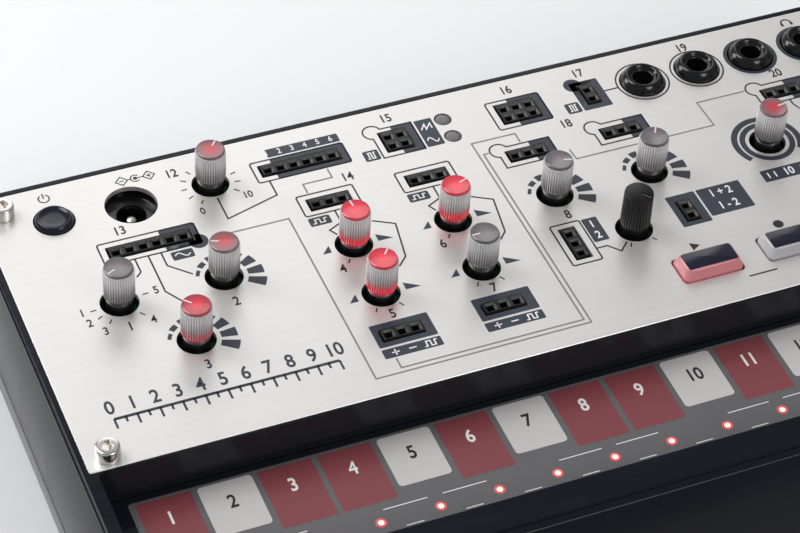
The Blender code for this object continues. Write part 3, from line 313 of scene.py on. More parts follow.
finishes = {
    "case": caseGloss(),
    "panel": brushedPanel(),
    "steel": turnedSteel("screwSteel"),
    "contact": turnedSteel("contactNickel", (0.74, 0.70, 0.62), 0.28),
    "board": boardMask(),
    "navy": plastic("navyInk", (0.024, 0.030, 0.048), 0.42, vary=0.14),
    "black": plastic("blackInk", (0.014, 0.014, 0.017), 0.45, vary=0.14),
    "grey": plastic("greyInk", (0.20, 0.19, 0.19), 0.45),
    "white": plastic("whiteInk", (0.78, 0.77, 0.76), 0.45, vary=0.04),
    # clear knob bodies with painted shade; the last two also carry a painted red glow from the lamp below
    "clear": clearMoulding("clearKnob"),
    "clearLit": clearMoulding("clearKnobLit", 0.9),
    "clearWarm": clearMoulding("clearKnobWarm", 0.4),
    "core": plastic("knobCore", (0.050, 0.046, 0.048), 0.35),
    "pointer": plastic("pointerWhite", (0.66, 0.62, 0.63), 0.35, vary=0.04),
    "knobBlack": plastic("blackKnob", (0.005, 0.005, 0.006), 0.30, vary=0.2, shine=0.3),
    "socket": plastic("socketBlack", (0.007, 0.007, 0.008), 0.34, vary=0.2, shine=0.35),
    "jack": plastic("jackBlack", (0.004, 0.004, 0.0045), 0.16, vary=0.2, shine=0.4),
    "socketWell": plastic("socketWell", (0.004, 0.004, 0.004), 0.6),
    "power": plastic("powerCap", (0.0055, 0.008, 0.016), 0.16, vary=0.15, shine=0.4),
    "frost": plastic("frostedButton", (0.62, 0.60, 0.62), 0.38, vary=0.05, coat=0.2, clear=0.25),
    # play button: its reddened base colour and glow are painted light from the lamp under it
    "frostLit": plastic(
        "frostedButtonLit", (0.56, 0.24, 0.25), 0.34, grain=1600.0, vary=0.12,
        coat=0.3, clear=0.12, glow=0.10, lit=(0.90, 0.07, 0.08),
    ),
    "insert": plastic("buttonInsert", (0.009, 0.010, 0.024), 0.18, shine=0.4),
    "lamp": plastic("lampGrey", (0.115, 0.112, 0.115), 0.35, coat=0.2),
    "ledLit": plastic("keyLampLit", (0.95, 0.45, 0.42), 0.3, glow=1.6, lit=(1.0, 0.42, 0.38)),
    # painted pool of red light round each key lamp, in colour and emission
    "ledHalo": plastic("keyLampHalo", (0.55, 0.08, 0.08), 0.3, coat=1.0, glow=0.30, lit=(0.85, 0.08, 0.08)),
    "plateEdge": plastic("plateBlack", (0.005, 0.006, 0.012), 0.14, shine=0.3),
    "plateGrey": plastic("plateGrey", (0.120, 0.115, 0.122), 0.22, coat=0.4),
    "keyRed": plastic("keyRed", (0.215, 0.048, 0.056), 0.24, vary=0.06, coat=0.4),
    "keyWhite": plastic("keyWhite", (0.56, 0.54, 0.53), 0.24, vary=0.04, coat=0.4),
    "rubber": plastic("footRubber", (0.020, 0.020, 0.021), 0.85, grain=1400.0, depth=0.03),
    "speaker": plastic("speakerGrey", (0.055, 0.055, 0.060), 0.45),
    "ribbon": plastic("ribbonGrey", (0.34, 0.34, 0.35), 0.5),
}
print("finishes mixed:", len(finishes))


# Mesh helpers: each gives a bmesh in metres
def cornered(bm, edges, size, segments=4):
    bmesh.ops.bevel(
        bm, geom=edges, offset=size * mm, offset_type="OFFSET", segments=segments,
        profile=0.5, affect="EDGES", material=-1, clamp_overlap=True,
    )


def uprightEdges(bm):
    return [edge for edge in bm.edges if abs(edge.verts[0].co.z - edge.verts[1].co.z) > 1e-6]


def edgesAt(bm, z):
    return [edge for edge in bm.edges if all(abs(vert.co.z - z) < 1e-7 for vert in edge.verts)]


# A block whose upper outline may differ from its lower one; the spans are (low, high) pairs
def tapered(lowX, lowY, highX, highY, z, radius=0.0, segments=6, rim=0.0, rimSegments=3, foot=0.0):
    bm = bmesh.new()
    bmesh.ops.create_cube(bm, size=1)
    for vert in bm.verts:
        spanX, spanY = (highX, highY) if vert.co.z > 0 else (lowX, lowY)
        vert.co = onPanel(spanX[vert.co.x > 0], spanY[vert.co.y > 0], z[vert.co.z > 0])
    if radius:
        cornered(bm, uprightEdges(bm), radius, segments)
    if rim:
        cornered(bm, edgesAt(bm, max(vert.co.z for vert in bm.verts)), rim, rimSegments)
    if foot:
        cornered(bm, edgesAt(bm, min(vert.co.z for vert in bm.verts)), foot, rimSegments)
    return bm


def block(x, y, z, radius=0.0, segments=4, rim=0.0, rimSegments=2):
    return tapered(x, y, x, y, z, radius, segments, rim, rimSegments)


def blockAt(x, y, wide, deep, z, radius=0.0, **more):
    return block((x - wide / 2, x + wide / 2), (y - deep / 2, y + deep / 2), z, radius, **more)


# A profile of (radius, height) points, spun about an upright axis at x, y
def turned(profile, x, y, segments=48):
    bm = bmesh.new()
    points = [bm.verts.new((radius * mm, 0, height * mm)) for radius, height in profile]
    edges = [bm.edges.new(pair) for pair in zip(points, points[1:])]
    bmesh.ops.spin(
        bm, geom=points + edges, cent=(0, 0, 0), axis=(0, 0, 1), angle=2 * math.pi,
        steps=segments, use_merge=True, use_duplicate=False,
    )
    bmesh.ops.remove_doubles(bm, verts=bm.verts, dist=1e-7)
    bmesh.ops.recalc_face_normals(bm, faces=bm.faces)
    bmesh.ops.translate(bm, vec=onPanel(x, y), verts=bm.verts)
    return bm


def rod(x, y, radius, z, segments=32):
    return turned([(0, z[0]), (radius, z[0]), (radius, z[1]), (0, z[1])], x, y, segments)


def pour(target, *sources):
    for source in sources:
        mesh = bpy.data.meshes.new("poured")
        source.to_mesh(mesh)
        source.free()
        target.from_mesh(mesh)
        bpy.data.meshes.remove(mesh)


def stand(bm):
    mesh = bpy.data.meshes.new("standIn")
    bm.to_mesh(mesh)
    bm.free()
    obj = bpy.data.objects.new("standIn", mesh)
    bpy.context.scene.collection.objects.link(obj)
    return obj


def applied(obj):
    graph = bpy.context.evaluated_depsgraph_get()
    mesh = bpy.data.meshes.new_from_object(obj.evaluated_get(graph))
    bpy.data.objects.remove(obj)
    bm = bmesh.new()
    bm.from_mesh(mesh)
    bpy.data.meshes.remove(mesh)
    return bm


def combined(bm, operation, *tools, crossing=False):
    for tool in tools:
        target, cutter = stand(bm), stand(tool)
        modifier = target.modifiers.new("combine", "BOOLEAN")
        modifier.operation, modifier.object, modifier.use_self = operation, cutter, crossing
        bm = applied(target)
        bpy.data.objects.remove(cutter)
    return bm


# Crossing says that the cut mesh holds bodies that run through each other
def cutBy(bm, *tools, crossing=False):
    return combined(bm, "DIFFERENCE", *tools, crossing=crossing)


def joinedTo(bm, *tools):
    return combined(bm, "UNION", *tools)


# A finished piece: riding on its body and, where it stands for CAD nodes, hiding them
def piece(name, bm, finish, body="case", nodes=(), crease=34):
    bmesh.ops.remove_doubles(bm, verts=bm.verts, dist=2e-8)
    bmesh.ops.recalc_face_normals(bm, faces=bm.faces)
    mesh = bpy.data.meshes.new(name)
    bm.to_mesh(mesh)
    bm.free()
    mesh.materials.append(finishes[finish])
    mesh.shade_smooth()
    mesh.set_sharp_from_angle(angle=math.radians(crease))
    obj = bpy.data.objects.new(name, mesh)
    bpy.context.scene.collection.objects.link(obj)
    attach(obj, body)
    if nodes:
        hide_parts(*nodes)


# A node's name as its pieces have it
def labelOf(node):
    first, *rest = node.split("_")
    return first + "".join(word.capitalize() for word in rest)


# Case: the upper half has a stepped rim round the panel, the lower half draws in to the table
case = {
    "sideFlare": 1.7,
    "rearFlare": 1.0,
    "frontSlope": 7.5,
    "wall": 2.0,
    "corner": 3.5,
    "stepDown": 0.45,
    "stepSide": 0.5,
    "stepFront": 1.5,
    "edge": 0.34,
    "wellX": 1.3,
    "wellRear": -0.5,
    "wellFront": -28.4,
    "wellCorner": 1.0,
    "ledge": 2.2,
    "panelGap": 0.12,
    "seamEdge": 0.25,
    "baseTaper": 1.2,
    "baseEdge": 1.5,
    "floor": 2.0,
    "lap": 0.4,
    "innerCorner": 1.5,
    "wellRise": 0.15,
}
shellSpan = panelSpan("top_shell")
baseSpan = panelSpan("bottom_case")
seamX = (shellSpan[0].x, shellSpan[1].x)
seamY = (shellSpan[0].y, shellSpan[1].y)
rimX = (seamX[0] + case["sideFlare"], seamX[1] - case["sideFlare"])
rimY = (seamY[0] + case["frontSlope"], seamY[1] - case["rearFlare"])
seamZ = shellSpan[0].z
ledgeZ = panelSpan("front_panel")[0].z


def inset(span, low, high=None):
    return span[0] + low, span[1] - (low if high is None else high)


def makeTopShell():
    step, lap, wall = -case["stepDown"], case["lap"], case["wall"]
    shell = tapered(
        seamX, seamY, rimX, rimY, (seamZ, step), case["corner"], rim=case["edge"], foot=case["seamEdge"]
    )
    tierX = inset(rimX, case["stepSide"])
    tierY = inset(rimY, case["stepFront"], case["stepSide"])
    tierCorner = case["corner"] - case["stepSide"]
    shell = joinedTo(shell, block(tierX, tierY, (step - lap, 0), tierCorner, segments=6, rim=case["edge"]))
    under = ledgeZ - wall
    inner = [inset(span, wall) for span in (seamX, seamY, rimX, rimY)]
    cavity = tapered(*inner, (seamZ - past, under), case["innerCorner"])
    gap, ledge = case["panelGap"], case["ledge"]
    recess = block(inset(sheetX, -gap), inset(sheetY, -gap), (ledgeZ, 3 * past))
    window = block(inset(sheetX, ledge), inset(sheetY, ledge), (under - past, ledgeZ + past / 2))
    shell = cutBy(shell, cavity, recess, window)
    wellX = inset(sheetX, case["wellX"])
    wellY = (case["wellFront"], case["wellRear"])
    wellFoot = keysDrop + case["wellRise"]
    shell = joinedTo(shell, block(inset(wellX, -wall), inset(wellY, -wall), (wellFoot, under + lap)))
    well = block(wellX, wellY, (wellFoot - 2 * past, 3 * past), case["wellCorner"], segments=5)
    piece("caseUpper", cutBy(shell, well), "case", nodes=["top_shell"], crease=22)


base = {
    "doorGap": 0.3,
    "doorTongue": 1.5,
    "screwBore": 2.5,
    "screwSink": 5.0,
    "footSink": 0.7,
    "footGap": 0.3,
    "slotCount": 7,
    "slotWide": 1.4,
    "slotStep": 3.0,
    "slotReach": 11.6,
    "slotLeast": 3.0,
}
corners = ("front_left", "front_right", "rear_left", "rear_right")


def makeLowerCase():
    taper, low, high = case["baseTaper"], baseSpan[0].z, seamZ - 0.1
    body = tapered(
        inset(seamX, taper), inset(seamY, taper), seamX, seamY, (low, high),
        case["corner"], rim=case["seamEdge"], foot=case["baseEdge"],
    )
    wall = case["wall"]
    hollow = tapered(
        inset(seamX, taper + wall), inset(seamY, taper + wall), inset(seamX, wall), inset(seamY, wall),
        (low + case["floor"], high + past), case["innerCorner"],
    )
    body = cutBy(body, hollow)
    doorLow, doorHigh = panelSpan("battery_door")
    gap, tongue = base["doorGap"], base["doorTongue"]
    doorX = (doorLow.x + tongue - gap, doorHigh.x - tongue + gap)
    recess = block(doorX, (doorLow.y - gap, seamY[1] + 2 * past), (low - past, doorHigh.z + gap))
    cutters = bmesh.new()
    for corner in corners:
        x, y = middleOf("case_screw_" + corner)
        pour(cutters, rod(x, y, base["screwBore"], (low - past, low + base["screwSink"])))
        x, y = middleOf("foot_" + corner)
        footLow, footHigh = panelSpan("foot_" + corner)
        radius = (footHigh.x - footLow.x) / 2 + base["footGap"]
        pour(cutters, rod(x, y, radius, (low - past, low + base["footSink"]), 64))
    x, y = middleOf("speaker")
    wide, slotZ = base["slotWide"], (low - past, low + case["floor"] + past)
    for index in range(base["slotCount"]):
        offset = (index - (base["slotCount"] - 1) / 2) * base["slotStep"]
        half = math.sqrt(max(base["slotReach"] ** 2 - offset**2, base["slotLeast"] ** 2))
        pour(cutters, blockAt(x, y + offset, 2 * half, wide, slotZ, wide * 0.45))
    body = cutBy(body, recess, cutters)
    piece("caseLower", body, "case", nodes=["bottom_case"], crease=22)


makeTopShell()
makeLowerCase()
print("case made")


# Panel sheet, with every hole that its controls come through
panel = {
    "knobHole": 3.5,
    "headerGap": 0.42,
    "headerCorner": 0.15,
    "jackHole": 4.55,
    "powerHole": 3.85,
    "dcHole": 4.85,
    "lampHole": 1.7,
    "lampX": 89.4,
    "lampY": (57.2, 62.2),
    "screwHole": 1.5,
    "buttonWide": 12.4,
    "buttonDeep": 6.6,
    "buttonCorner": 1.0,
    "edge": 0.09,
}
knobNames = [name for name in jointPlace if name.startswith("knob_")]
headerNames = sorted(name for name in frame["nodes"] if name.startswith("header_"))
jackNames = sorted(name for name in frame["nodes"] if name.startswith("jack_"))
buttonNames = ("button_play", "button_record", "button_memory", "button_function")


def knobAt(name):
    place = jointPlace[name]
    return (place[0] - panelLow.x) / mm, (place[1] - panelLow.y) / mm


# Every opening in the sheet, as one cutter between two heights
def panelHoles(through):
    cutters = bmesh.new()
    for name in knobNames:
        pour(cutters, rod(*knobAt(name), panel["knobHole"], through, 64))
    for name in headerNames:
        low, high = panelSpan(name)
        gap = panel["headerGap"]
        x, y = (low.x - gap, high.x + gap), (low.y - gap, high.y + gap)
        pour(cutters, block(x, y, through, panel["headerCorner"], segments=2))
    for name in jackNames:
        pour(cutters, rod(*middleOf(name), panel["jackHole"], through, 64))
    for y in panel["lampY"]:
        pour(cutters, rod(panel["lampX"], y, panel["lampHole"], through))
    pour(cutters, rod(*middleOf("power_button"), panel["powerHole"], through, 64))
    pour(cutters, rod(*middleOf("dc_jack"), panel["dcHole"], through, 64))
    for name in buttonNames:
        size = (panel["buttonWide"], panel["buttonDeep"])
        pour(cutters, blockAt(*middleOf(name), *size, through, panel["buttonCorner"]))
    for corner in corners:
        pour(cutters, rod(*middleOf("panel_screw_" + corner), panel["screwHole"], through))
    return cutters


def makePanel():
    sheet = block(sheetX, sheetY, (ledgeZ, 0), 0.4, rim=panel["edge"], rimSegments=1)
    sheet = cutBy(sheet, panelHoles((ledgeZ - past, past)))
    piece("panelSheet", sheet, "panel", nodes=["front_panel"], crease=30)


makePanel()
print("panel cut")


def around(x, y, radius, angle):
    return x + radius * math.cos(math.radians(angle)), y + radius * math.sin(math.radians(angle))


# Printing: fills are thin pads of ink, strokes are thin walls given their width by Solidify
ink = {
    "lift": 0.022,
    "overLift": 0.040,
    "sunk": 0.01,
    "line": 0.32,
    "thin": 0.22,
    "tick": 0.26,
    "frameCorner": 0.3,
    "narrow": 0.80,
    "bold": 0.02,
    "cut": (-0.5, 1),
}
inkColours = ("navy", "black", "grey", "white", "plateGrey", "keyRed", "keyWhite", "ledLit", "ledHalo")
inkPads = {colour: bmesh.new() for colour in inkColours}
strokes = {}


# Ink over ink stands a little higher
def liftOf(over):
    return ink["overLift"] if over else ink["lift"]


def raiseTops(bm, extruded, height):
    tops = [item for item in extruded["geom"] if isinstance(item, bmesh.types.BMVert)]
    bmesh.ops.translate(bm, vec=(0, 0, height * mm), verts=tops)


def pad(colour, x, y, level=0.0, radius=0.25):
    pour(inkPads[colour], block(x, y, (level - ink["sunk"], level + ink["lift"]), radius, segments=3))


def dot(colour, x, y, radius, level=0.0, segments=40):
    pour(inkPads[colour], rod(x, y, radius, (level - ink["sunk"], level + ink["lift"]), segments))


def stroke(colour, *points, width=None, closed=False, level=0.0, over=False):
    key = (colour, width or ink["line"], level, over)
    strokes.setdefault(key, []).append((points, closed))


def frameLine(colour, x, y):
    corner = ink["frameCorner"]
    points = [
        (x[0] + corner, y[0]), (x[1] - corner, y[0]), (x[1], y[0] + corner), (x[1], y[1] - corner),
        (x[1] - corner, y[1]), (x[0] + corner, y[1]), (x[0], y[1] - corner), (x[0], y[0] + corner),
    ]
    stroke(colour, *points, closed=True)


def swept(x, y, radius, start, end, steps):
    return [around(x, y, radius, start + (end - start) * step / steps) for step in range(steps + 1)]


def arc(colour, x, y, radius, start, end, steps=24, **more):
    stroke(colour, *swept(x, y, radius, start, end, steps), **more)


# A frame whose rear left corner swells into a circle
def keyholeLine(colour, x, y, centre, radius):
    start = 360 - math.degrees(math.acos((x[0] - centre[0]) / radius))
    end = math.degrees(math.asin((y[1] - centre[1]) / radius))
    bow = swept(*centre, radius, start, end, 30)
    stroke(colour, (x[0], y[0]), *bow, (x[1], y[1]), (x[1], y[0]), closed=True)


# A filled outline
def inkShape(colour, *points):
    bm = bmesh.new()
    verts = [bm.verts.new(onPanel(x, y, -ink["sunk"])) for x, y in points]
    bmesh.ops.contextual_create(bm, geom=verts)
    raiseTops(bm, bmesh.ops.extrude_face_region(bm, geom=bm.faces[:]), ink["lift"] + ink["sunk"])
    bmesh.ops.recalc_face_normals(bm, faces=bm.faces)
    pour(inkPads[colour], bm)


def ring(colour, x, y, radius, steps=48):
    points = [around(x, y, radius, 360 * step / steps) for step in range(steps)]
    stroke(colour, *points, closed=True)


def number(colour, text, x, y, size, level=0.0, over=False):
    curve = bpy.data.curves.new("number", "FONT")
    curve.body, curve.size = text, size * mm
    curve.align_x, curve.align_y = "CENTER", "CENTER"
    curve.offset = ink["bold"] * size * mm
    height = liftOf(over) + ink["sunk"]
    curve.extrude = height / 2 * mm
    obj = bpy.data.objects.new("number", curve)
    bpy.context.scene.collection.objects.link(obj)
    bm = applied(obj)
    bmesh.ops.remove_doubles(bm, verts=bm.verts, dist=1e-8)
    bmesh.ops.scale(bm, vec=(ink["narrow"], 1, 1), verts=bm.verts)
    bmesh.ops.translate(bm, vec=onPanel(x, y, level - ink["sunk"] + height / 2), verts=bm.verts)
    pour(inkPads[colour], bm)


def strokeWalls(lines, width, level, over):
    bm = bmesh.new()
    for points, closed in lines:
        verts = [bm.verts.new(onPanel(x, y, level - ink["sunk"])) for x, y in points]
        ends = verts[1:] + verts[:1] if closed else verts[1:]
        for start, end in zip(verts, ends):
            bm.edges.new((start, end))
    raiseTops(bm, bmesh.ops.extrude_edge_only(bm, edges=bm.edges[:]), liftOf(over) + ink["sunk"])
    obj = stand(bm)
    thicken = obj.modifiers.new("width", "SOLIDIFY")
    thicken.thickness, thicken.offset, thicken.use_even_offset = width * mm, 0.0, True
    return applied(obj)


def whiteLine(*points):
    stroke("white", *points, width=ink["tick"], over=True)


# A square, ramp or sine wave in white, over the x span and upwards from y
def wave(kind, x, y, tall):
    wide = x[1] - x[0]
    if kind == "square":
        turns = ((0, 0), (0.2, 0), (0.2, 1), (0.5, 1), (0.5, 0), (0.8, 0), (0.8, 1), (1, 1))
    elif kind == "ramp":
        turns = ((0, 0), (0.45, 1), (0.45, 0), (0.95, 1), (0.95, 0))
    else:
        turns = [(step / 16, 0.5 + 0.5 * math.sin(2 * math.pi * step / 16)) for step in range(17)]
    whiteLine(*[(x[0] + across * wide, y + up * tall) for across, up in turns])


# Fields round the patch sockets: each has its y span, and the x spans of its navy fill and its frame
middleRow, rearRow, frontRow, frontStrip = (45.6, 51.1), (55.7, 63.5), (10.4, 16.0), (7.7, 9.9)
fields = {
    "source": {"y": middleRow, "frame": (17.5, 35.7), "fill": (29.0, 35.7), "dot": (35.1, 46.2)},
    "clock": {"y": (56.9, 62.4), "frame": (50.6, 68.9), "fill": (54.5, 68.9)},
    "clockStrip": {"y": (62.9, 65.1), "fill": (54.5, 68.9)},
    "functionA": {"y": middleRow, "frame": (55.5, 66.5)},
    "functionB": {"y": middleRow, "frame": (74.9, 85.8)},
    "release": {"y": frontRow, "fill": (55.8, 66.8)},
    "releaseStrip": {"y": frontStrip, "fill": (55.8, 66.8)},
    "time": {"y": frontRow, "fill": (75.2, 86.3)},
    "timeStrip": {"y": frontStrip, "fill": (75.2, 86.3)},
    "random": {"y": rearRow, "frame": (74.9, 83.3), "fill": (79.1, 83.3), "ring": (75.3, 63.0)},
    "split": {"y": rearRow, "frame": (98.5, 109.5), "fill": (102.9, 109.5)},
    "control": {"y": (55.5, 63.6), "fill": (116.1, 122.0), "dot": (116.8, 63.0)},
    "gateA": {"y": middleRow, "frame": (95.5, 106.3), "fill": (102.05, 106.3), "ring": (95.9, 50.5)},
    "gateB": {"y": middleRow, "frame": (114.9, 125.7), "fill": (121.5, 125.7), "ring": (115.45, 50.5)},
    "effect": {"y": middleRow, "frame": (149.2, 160.1), "fill": (156.0, 160.1), "ring": (149.8, 50.5)},
    "mixIn": {"y": (17.8, 28.4), "frame": (96.2, 102.05)},
    "mixSign": {"y": (22.1, 28.3), "fill": (102.45, 105.45)},
    "mixOut": {"y": (20.2, 28.45), "fill": (119.6, 125.5)},
    "mixSum": {"y": (21.2, 28.45), "fill": (125.9, 134.8)},
    "amountBar": {"y": (26.0, 29.1), "fill": (139.6, 150.6)},
}
dotRadius = 1.8


def printFields():
    for field in fields.values():
        if "ring" in field:
            keyholeLine("black", field["frame"], field["y"], field["ring"], dotRadius)
        elif "frame" in field:
            frameLine("black", field["frame"], field["y"])
        if "fill" in field:
            pad("navy", field["fill"], field["y"])
        if "dot" in field:
            dot("navy", *field["dot"], dotRadius)


# Signs and numbers in the fields: an icon has its wave, and the x and y spans of its box
icons = (
    ("sine", (29.3, 33.4), (42.8, 45.0)),
    ("square", (55.5, 59.6), (42.8, 45.0)),
    ("square", (74.9, 79.0), (42.8, 45.0)),
    ("square", (71.4, 74.4), (55.7, 58.5)),
    ("square", (112.8, 115.7), (55.5, 58.4)),
)
iconBox = {"corner": 0.35, "margin": 0.6}
waveBox = {
    "x": (83.8, 87.3),
    "y": (55.8, 63.4),
    "span": (84.4, 86.7),
    "waves": {"sine": 56.8, "ramp": 60.6},
    "tall": 1.4,
}
stepNumbers = {"count": 6, "shift": 1.2, "y": 64.0, "size": 1.9}
signStrip = {
    "fields": ("releaseStrip", "timeStrip"),
    "lines": (((1.6, 8.8), (3.0, 8.8)), ((2.3, 8.1), (2.3, 9.5)), ((4.8, 8.8), (6.2, 8.8))),
    "wave": (7.6, 10.2),
    "waveY": 8.2,
    "tall": 1.2,
}
fieldNumbers = (
    ("1", 103.95, 26.6, 2.6),
    ("2", 103.95, 23.7, 2.6),
    ("1 + 2", 130.3, 26.7, 2.7),
    ("1 - 2", 130.3, 23.2, 2.7),
    ("10", 145.1, 27.5, 2.7),
)
amountTicks = {"x": (140.9, 142.3, 147.9, 149.3), "y": (26.8, 28.3)}


def printIcons():
    margin = iconBox["margin"]
    for kind, x, y in icons:
        pad("navy", x, y, radius=iconBox["corner"])
        wave(kind, inset(x, margin), y[0] + margin, y[1] - y[0] - 2 * margin)
    pad("navy", waveBox["x"], waveBox["y"])
    for kind, y in waveBox["waves"].items():
        wave(kind, waveBox["span"], y, waveBox["tall"])
    first = panelSpan("header_clock")[0].x
    for index in range(stepNumbers["count"]):
        x = first + (index + 0.5) * socketPitch + stepNumbers["shift"]
        number("white", str(index + 1), x, stepNumbers["y"], stepNumbers["size"], over=True)
    for name in signStrip["fields"]:
        left = fields[name]["fill"][0]
        for start, end in signStrip["lines"]:
            whiteLine((left + start[0], start[1]), (left + end[0], end[1]))
        span = [left + shift for shift in signStrip["wave"]]
        wave("square", span, signStrip["waveY"], signStrip["tall"])
    for text, x, y, size in fieldNumbers:
        number("white", text, x, y, size, over=True)
    low, high = amountTicks["y"]
    for x in amountTicks["x"]:
        whiteLine((x, low), (x, high))


# Signal paths between the fields, as printed lines
pathsBlack = (
    ((42.05, 55.8), (42.05, 49.9), (52.6, 52.9), (52.6, 56.9)),
    ((22.9, 45.6), (22.9, 42.1), (21.8, 41.1)),
    ((25.4, 45.6), (25.4, 36.1), (27.4, 32.9)),
    ((27.8, 45.6), (27.8, 42.1), (31.4, 38.6)),
    ((61.05, 45.6), (61.05, 42.3), (58.3, 41.0), (59.2, 39.5)),
    ((66.4, 40.8), (70.2, 38.7), (68.7, 30.2), (66.7, 28.2)),
    ((80.45, 45.6), (80.45, 42.3), (77.7, 41.0), (78.5, 39.5)),
    ((85.9, 40.8), (89.6, 38.7), (88.2, 30.2), (86.6, 28.5)),
    ((102.1, 20.6), (104.2, 20.6), (106.1, 18.5), (108.0, 20.3)),
    ((154.9, 45.6), (154.9, 44.2), (155.5, 42.6)),
    ((122.0, 59.6), (125.0, 59.6)),
    ((125.1, 4.9), (130.7, 4.9)),
)
pathsGrey = (
    ((63.8, 56.5), (63.8, 54.0), (58.05, 54.0), (58.05, 51.5)),
    ((41.0, 46.3), (52.4, 46.3), (52.5, 4.0), (93.3, 4.0), (92.8, 50.5), (93.8, 50.5)),
    ((57.6, 7.4), (57.6, 5.0), (92.3, 5.0), (91.8, 54.0), (100.7, 54.0), (100.7, 51.5)),
    ((108.6, 46.5), (108.8, 43.7), (137.6, 43.7), (137.4, 50.6), (147.7, 50.6)),
)


def printPaths():
    for points in pathsBlack:
        stroke("black", *points)
    for points in pathsGrey:
        stroke("grey", *points)


# Dials: blocks that grow along the sweep, ramps, ticks, and plain numbers where a scale is read off
fan = {"start": 152.0, "end": -28.0, "count": 8, "inner": 4.35, "least": 0.7, "most": 3.3, "half": 8.6}
growingDials = ("knob_mod", "knob_fold", "knob_cutoff_a", "knob_cutoff_b")
rampDials = ("knob_attack", "knob_release", "knob_shape", "knob_time")
ramp = {"near": 4.5, "leftFar": 6.2, "rightFar": 7.4, "low": -0.7, "high": 1.1}
stops = {"angles": (238, 302), "inner": 3.9, "outer": 5.0}
# A row of ticks has its knob, inner radius, first and last angle, and count
tickRows = (
    ("knob_tempo", 4.5, 234, -38, 11),
    ("knob_ratio", 4.4, 186, 234, 3),
    ("knob_ratio", 4.4, 306, 366, 2),
    ("knob_volume", 4.4, 240, -60, 11),
)
tickLength = 1.1
# The numbers round a knob have one size, and each its angle and radius
dialNumbers = {
    "knob_ratio": (2.6, (("1", 184, 7.0), ("2", 207, 7.2), ("3", 234, 7.4), ("4", 306, 7.4), ("5", 6, 7.0))),
    "knob_tempo": (2.4, (("0", 240, 7.4), ("10", -42, 7.4))),
}
# A ring round the amount knob has its radius, first and last angle, steps and width
amountRings = ((4.75, 0, 360, 64, 1.1), (6.3, 215, -35, 48, 1.2))


def printGrowingDial(name):
    x, y = knobAt(name)
    inner = fan["inner"]
    for index in range(fan["count"]):
        share = index / (fan["count"] - 1)
        angle = fan["start"] + (fan["end"] - fan["start"]) * share
        reach = inner + fan["least"] + (fan["most"] - fan["least"]) * share
        near, far = angle - fan["half"], angle + fan["half"]
        rim = ((inner, near), (reach, near), (reach, angle), (reach, far), (inner, far), (inner, angle))
        inkShape("navy", *[around(x, y, *point) for point in rim])


def tick(x, y, inner, outer, angle):
    stroke("black", around(x, y, inner, angle), around(x, y, outer, angle), width=ink["tick"])


def printTicks(name, radius, start, end, count):
    x, y = knobAt(name)
    for index in range(count):
        tick(x, y, radius, radius + tickLength, start + (end - start) * index / (count - 1))


def printStops(name):
    x, y = knobAt(name)
    for angle in stops["angles"]:
        tick(x, y, stops["inner"], stops["outer"], angle)


def printDials():
    for name in growingDials:
        printGrowingDial(name)
    for name in rampDials:
        x, y = knobAt(name)
        low, high = y + ramp["low"], y + ramp["high"]
        inkShape("navy", (x - ramp["leftFar"], low), (x - ramp["near"], low), (x - ramp["near"], high))
        inkShape("navy", (x + ramp["near"], low), (x + ramp["rightFar"], low), (x + ramp["near"], high))
        printStops(name)
    for row in tickRows:
        printTicks(*row)
    printStops("knob_blend")
    for name, (size, placed) in dialNumbers.items():
        for text, angle, radius in placed:
            number("black", text, *around(*knobAt(name), radius, angle), size)
    for radius, start, end, steps, width in amountRings:
        arc("navy", *knobAt("knob_amount"), radius, start, end, steps=steps, width=width)


# Plain numbers at the places where a control is named
controlNumbers = (
    ("1", 17.0, 29.9), ("2", 36.4, 29.6), ("3", 26.7, 16.9), ("4", 57.0, 30.9), ("5", 61.1, 17.6),
    ("6", 76.3, 30.9), ("7", 80.5, 17.6), ("8", 100.9, 30.4), ("9", 116.4, 30.6),
    ("11", 168.9, 28.6), ("12", 36.2, 64.6), ("13", 22.6, 53.3), ("14", 66.5, 53.2), ("15", 79.2, 65.9),
    ("16", 104.0, 65.9), ("17", 119.2, 65.9), ("18", 111.0, 53.3), ("19", 141.8, 66.2), ("20", 156.0, 53.4),
)
labelSize = 3.0
scaleBar = {
    "x": (7.6, 48.2),
    "y": 10.2,
    "line": 0.6,
    "ticks": 21,
    "tickLine": 0.42,
    "tall": 2.2,
    "short": 1.2,
    "numberRise": 2.6,
    "size": 4.2,
}


def printNumbers():
    for text, x, y in controlNumbers:
        number("black", text, x, y, labelSize)
    left, right = scaleBar["x"]
    y = scaleBar["y"]
    stroke("navy", (left, y), (right, y), width=scaleBar["line"])
    for index in range(scaleBar["ticks"]):
        x = left + (right - left) * index / (scaleBar["ticks"] - 1)
        numbered = index % 2 == 0
        tall = scaleBar["tall"] if numbered else scaleBar["short"]
        stroke("navy", (x, y), (x, y - tall), width=scaleBar["tickLine"])
        if numbered:
            number("navy", str(index // 2), x, y + scaleBar["numberRise"], scaleBar["size"])


# Signs beside the power button, the power socket, the plug sockets and the buttons
powerSign = {"x": 12.3, "y": 65.9, "top": 67.3, "radius": 1.0, "sweep": (120, 420)}
polarity = {
    "y": 65.7,
    "minus": 27.0,
    "plus": 32.2,
    "upright": (65.25, 66.15),
    "diamond": 1.15,
    "bar": 0.45,
    "socket": 29.6,
    "radius": 0.85,
    "sweep": (40, 320),
    "pin": 0.4,
    "links": ((28.15, 28.75), (29.9, 31.05)),
}
jackPrint = {"rings": 2, "ring": 5.2, "disc": 5.3}
phones = {"x": 165.1, "y": 66.4, "radius": 1.0, "cup": (66.5, 65.6), "cupLine": 0.5}
buttonSign = {
    "rise": 5.3,
    "playShift": 0.2,
    "playRise": 5.2,
    "playRadius": 1.15,
    "recordRadius": 1.0,
    "memoryHalf": 1.0,
    "memoryRise": (4.4, 6.2),
    "dashHalf": 1.1,
    "dashLine": 0.35,
}


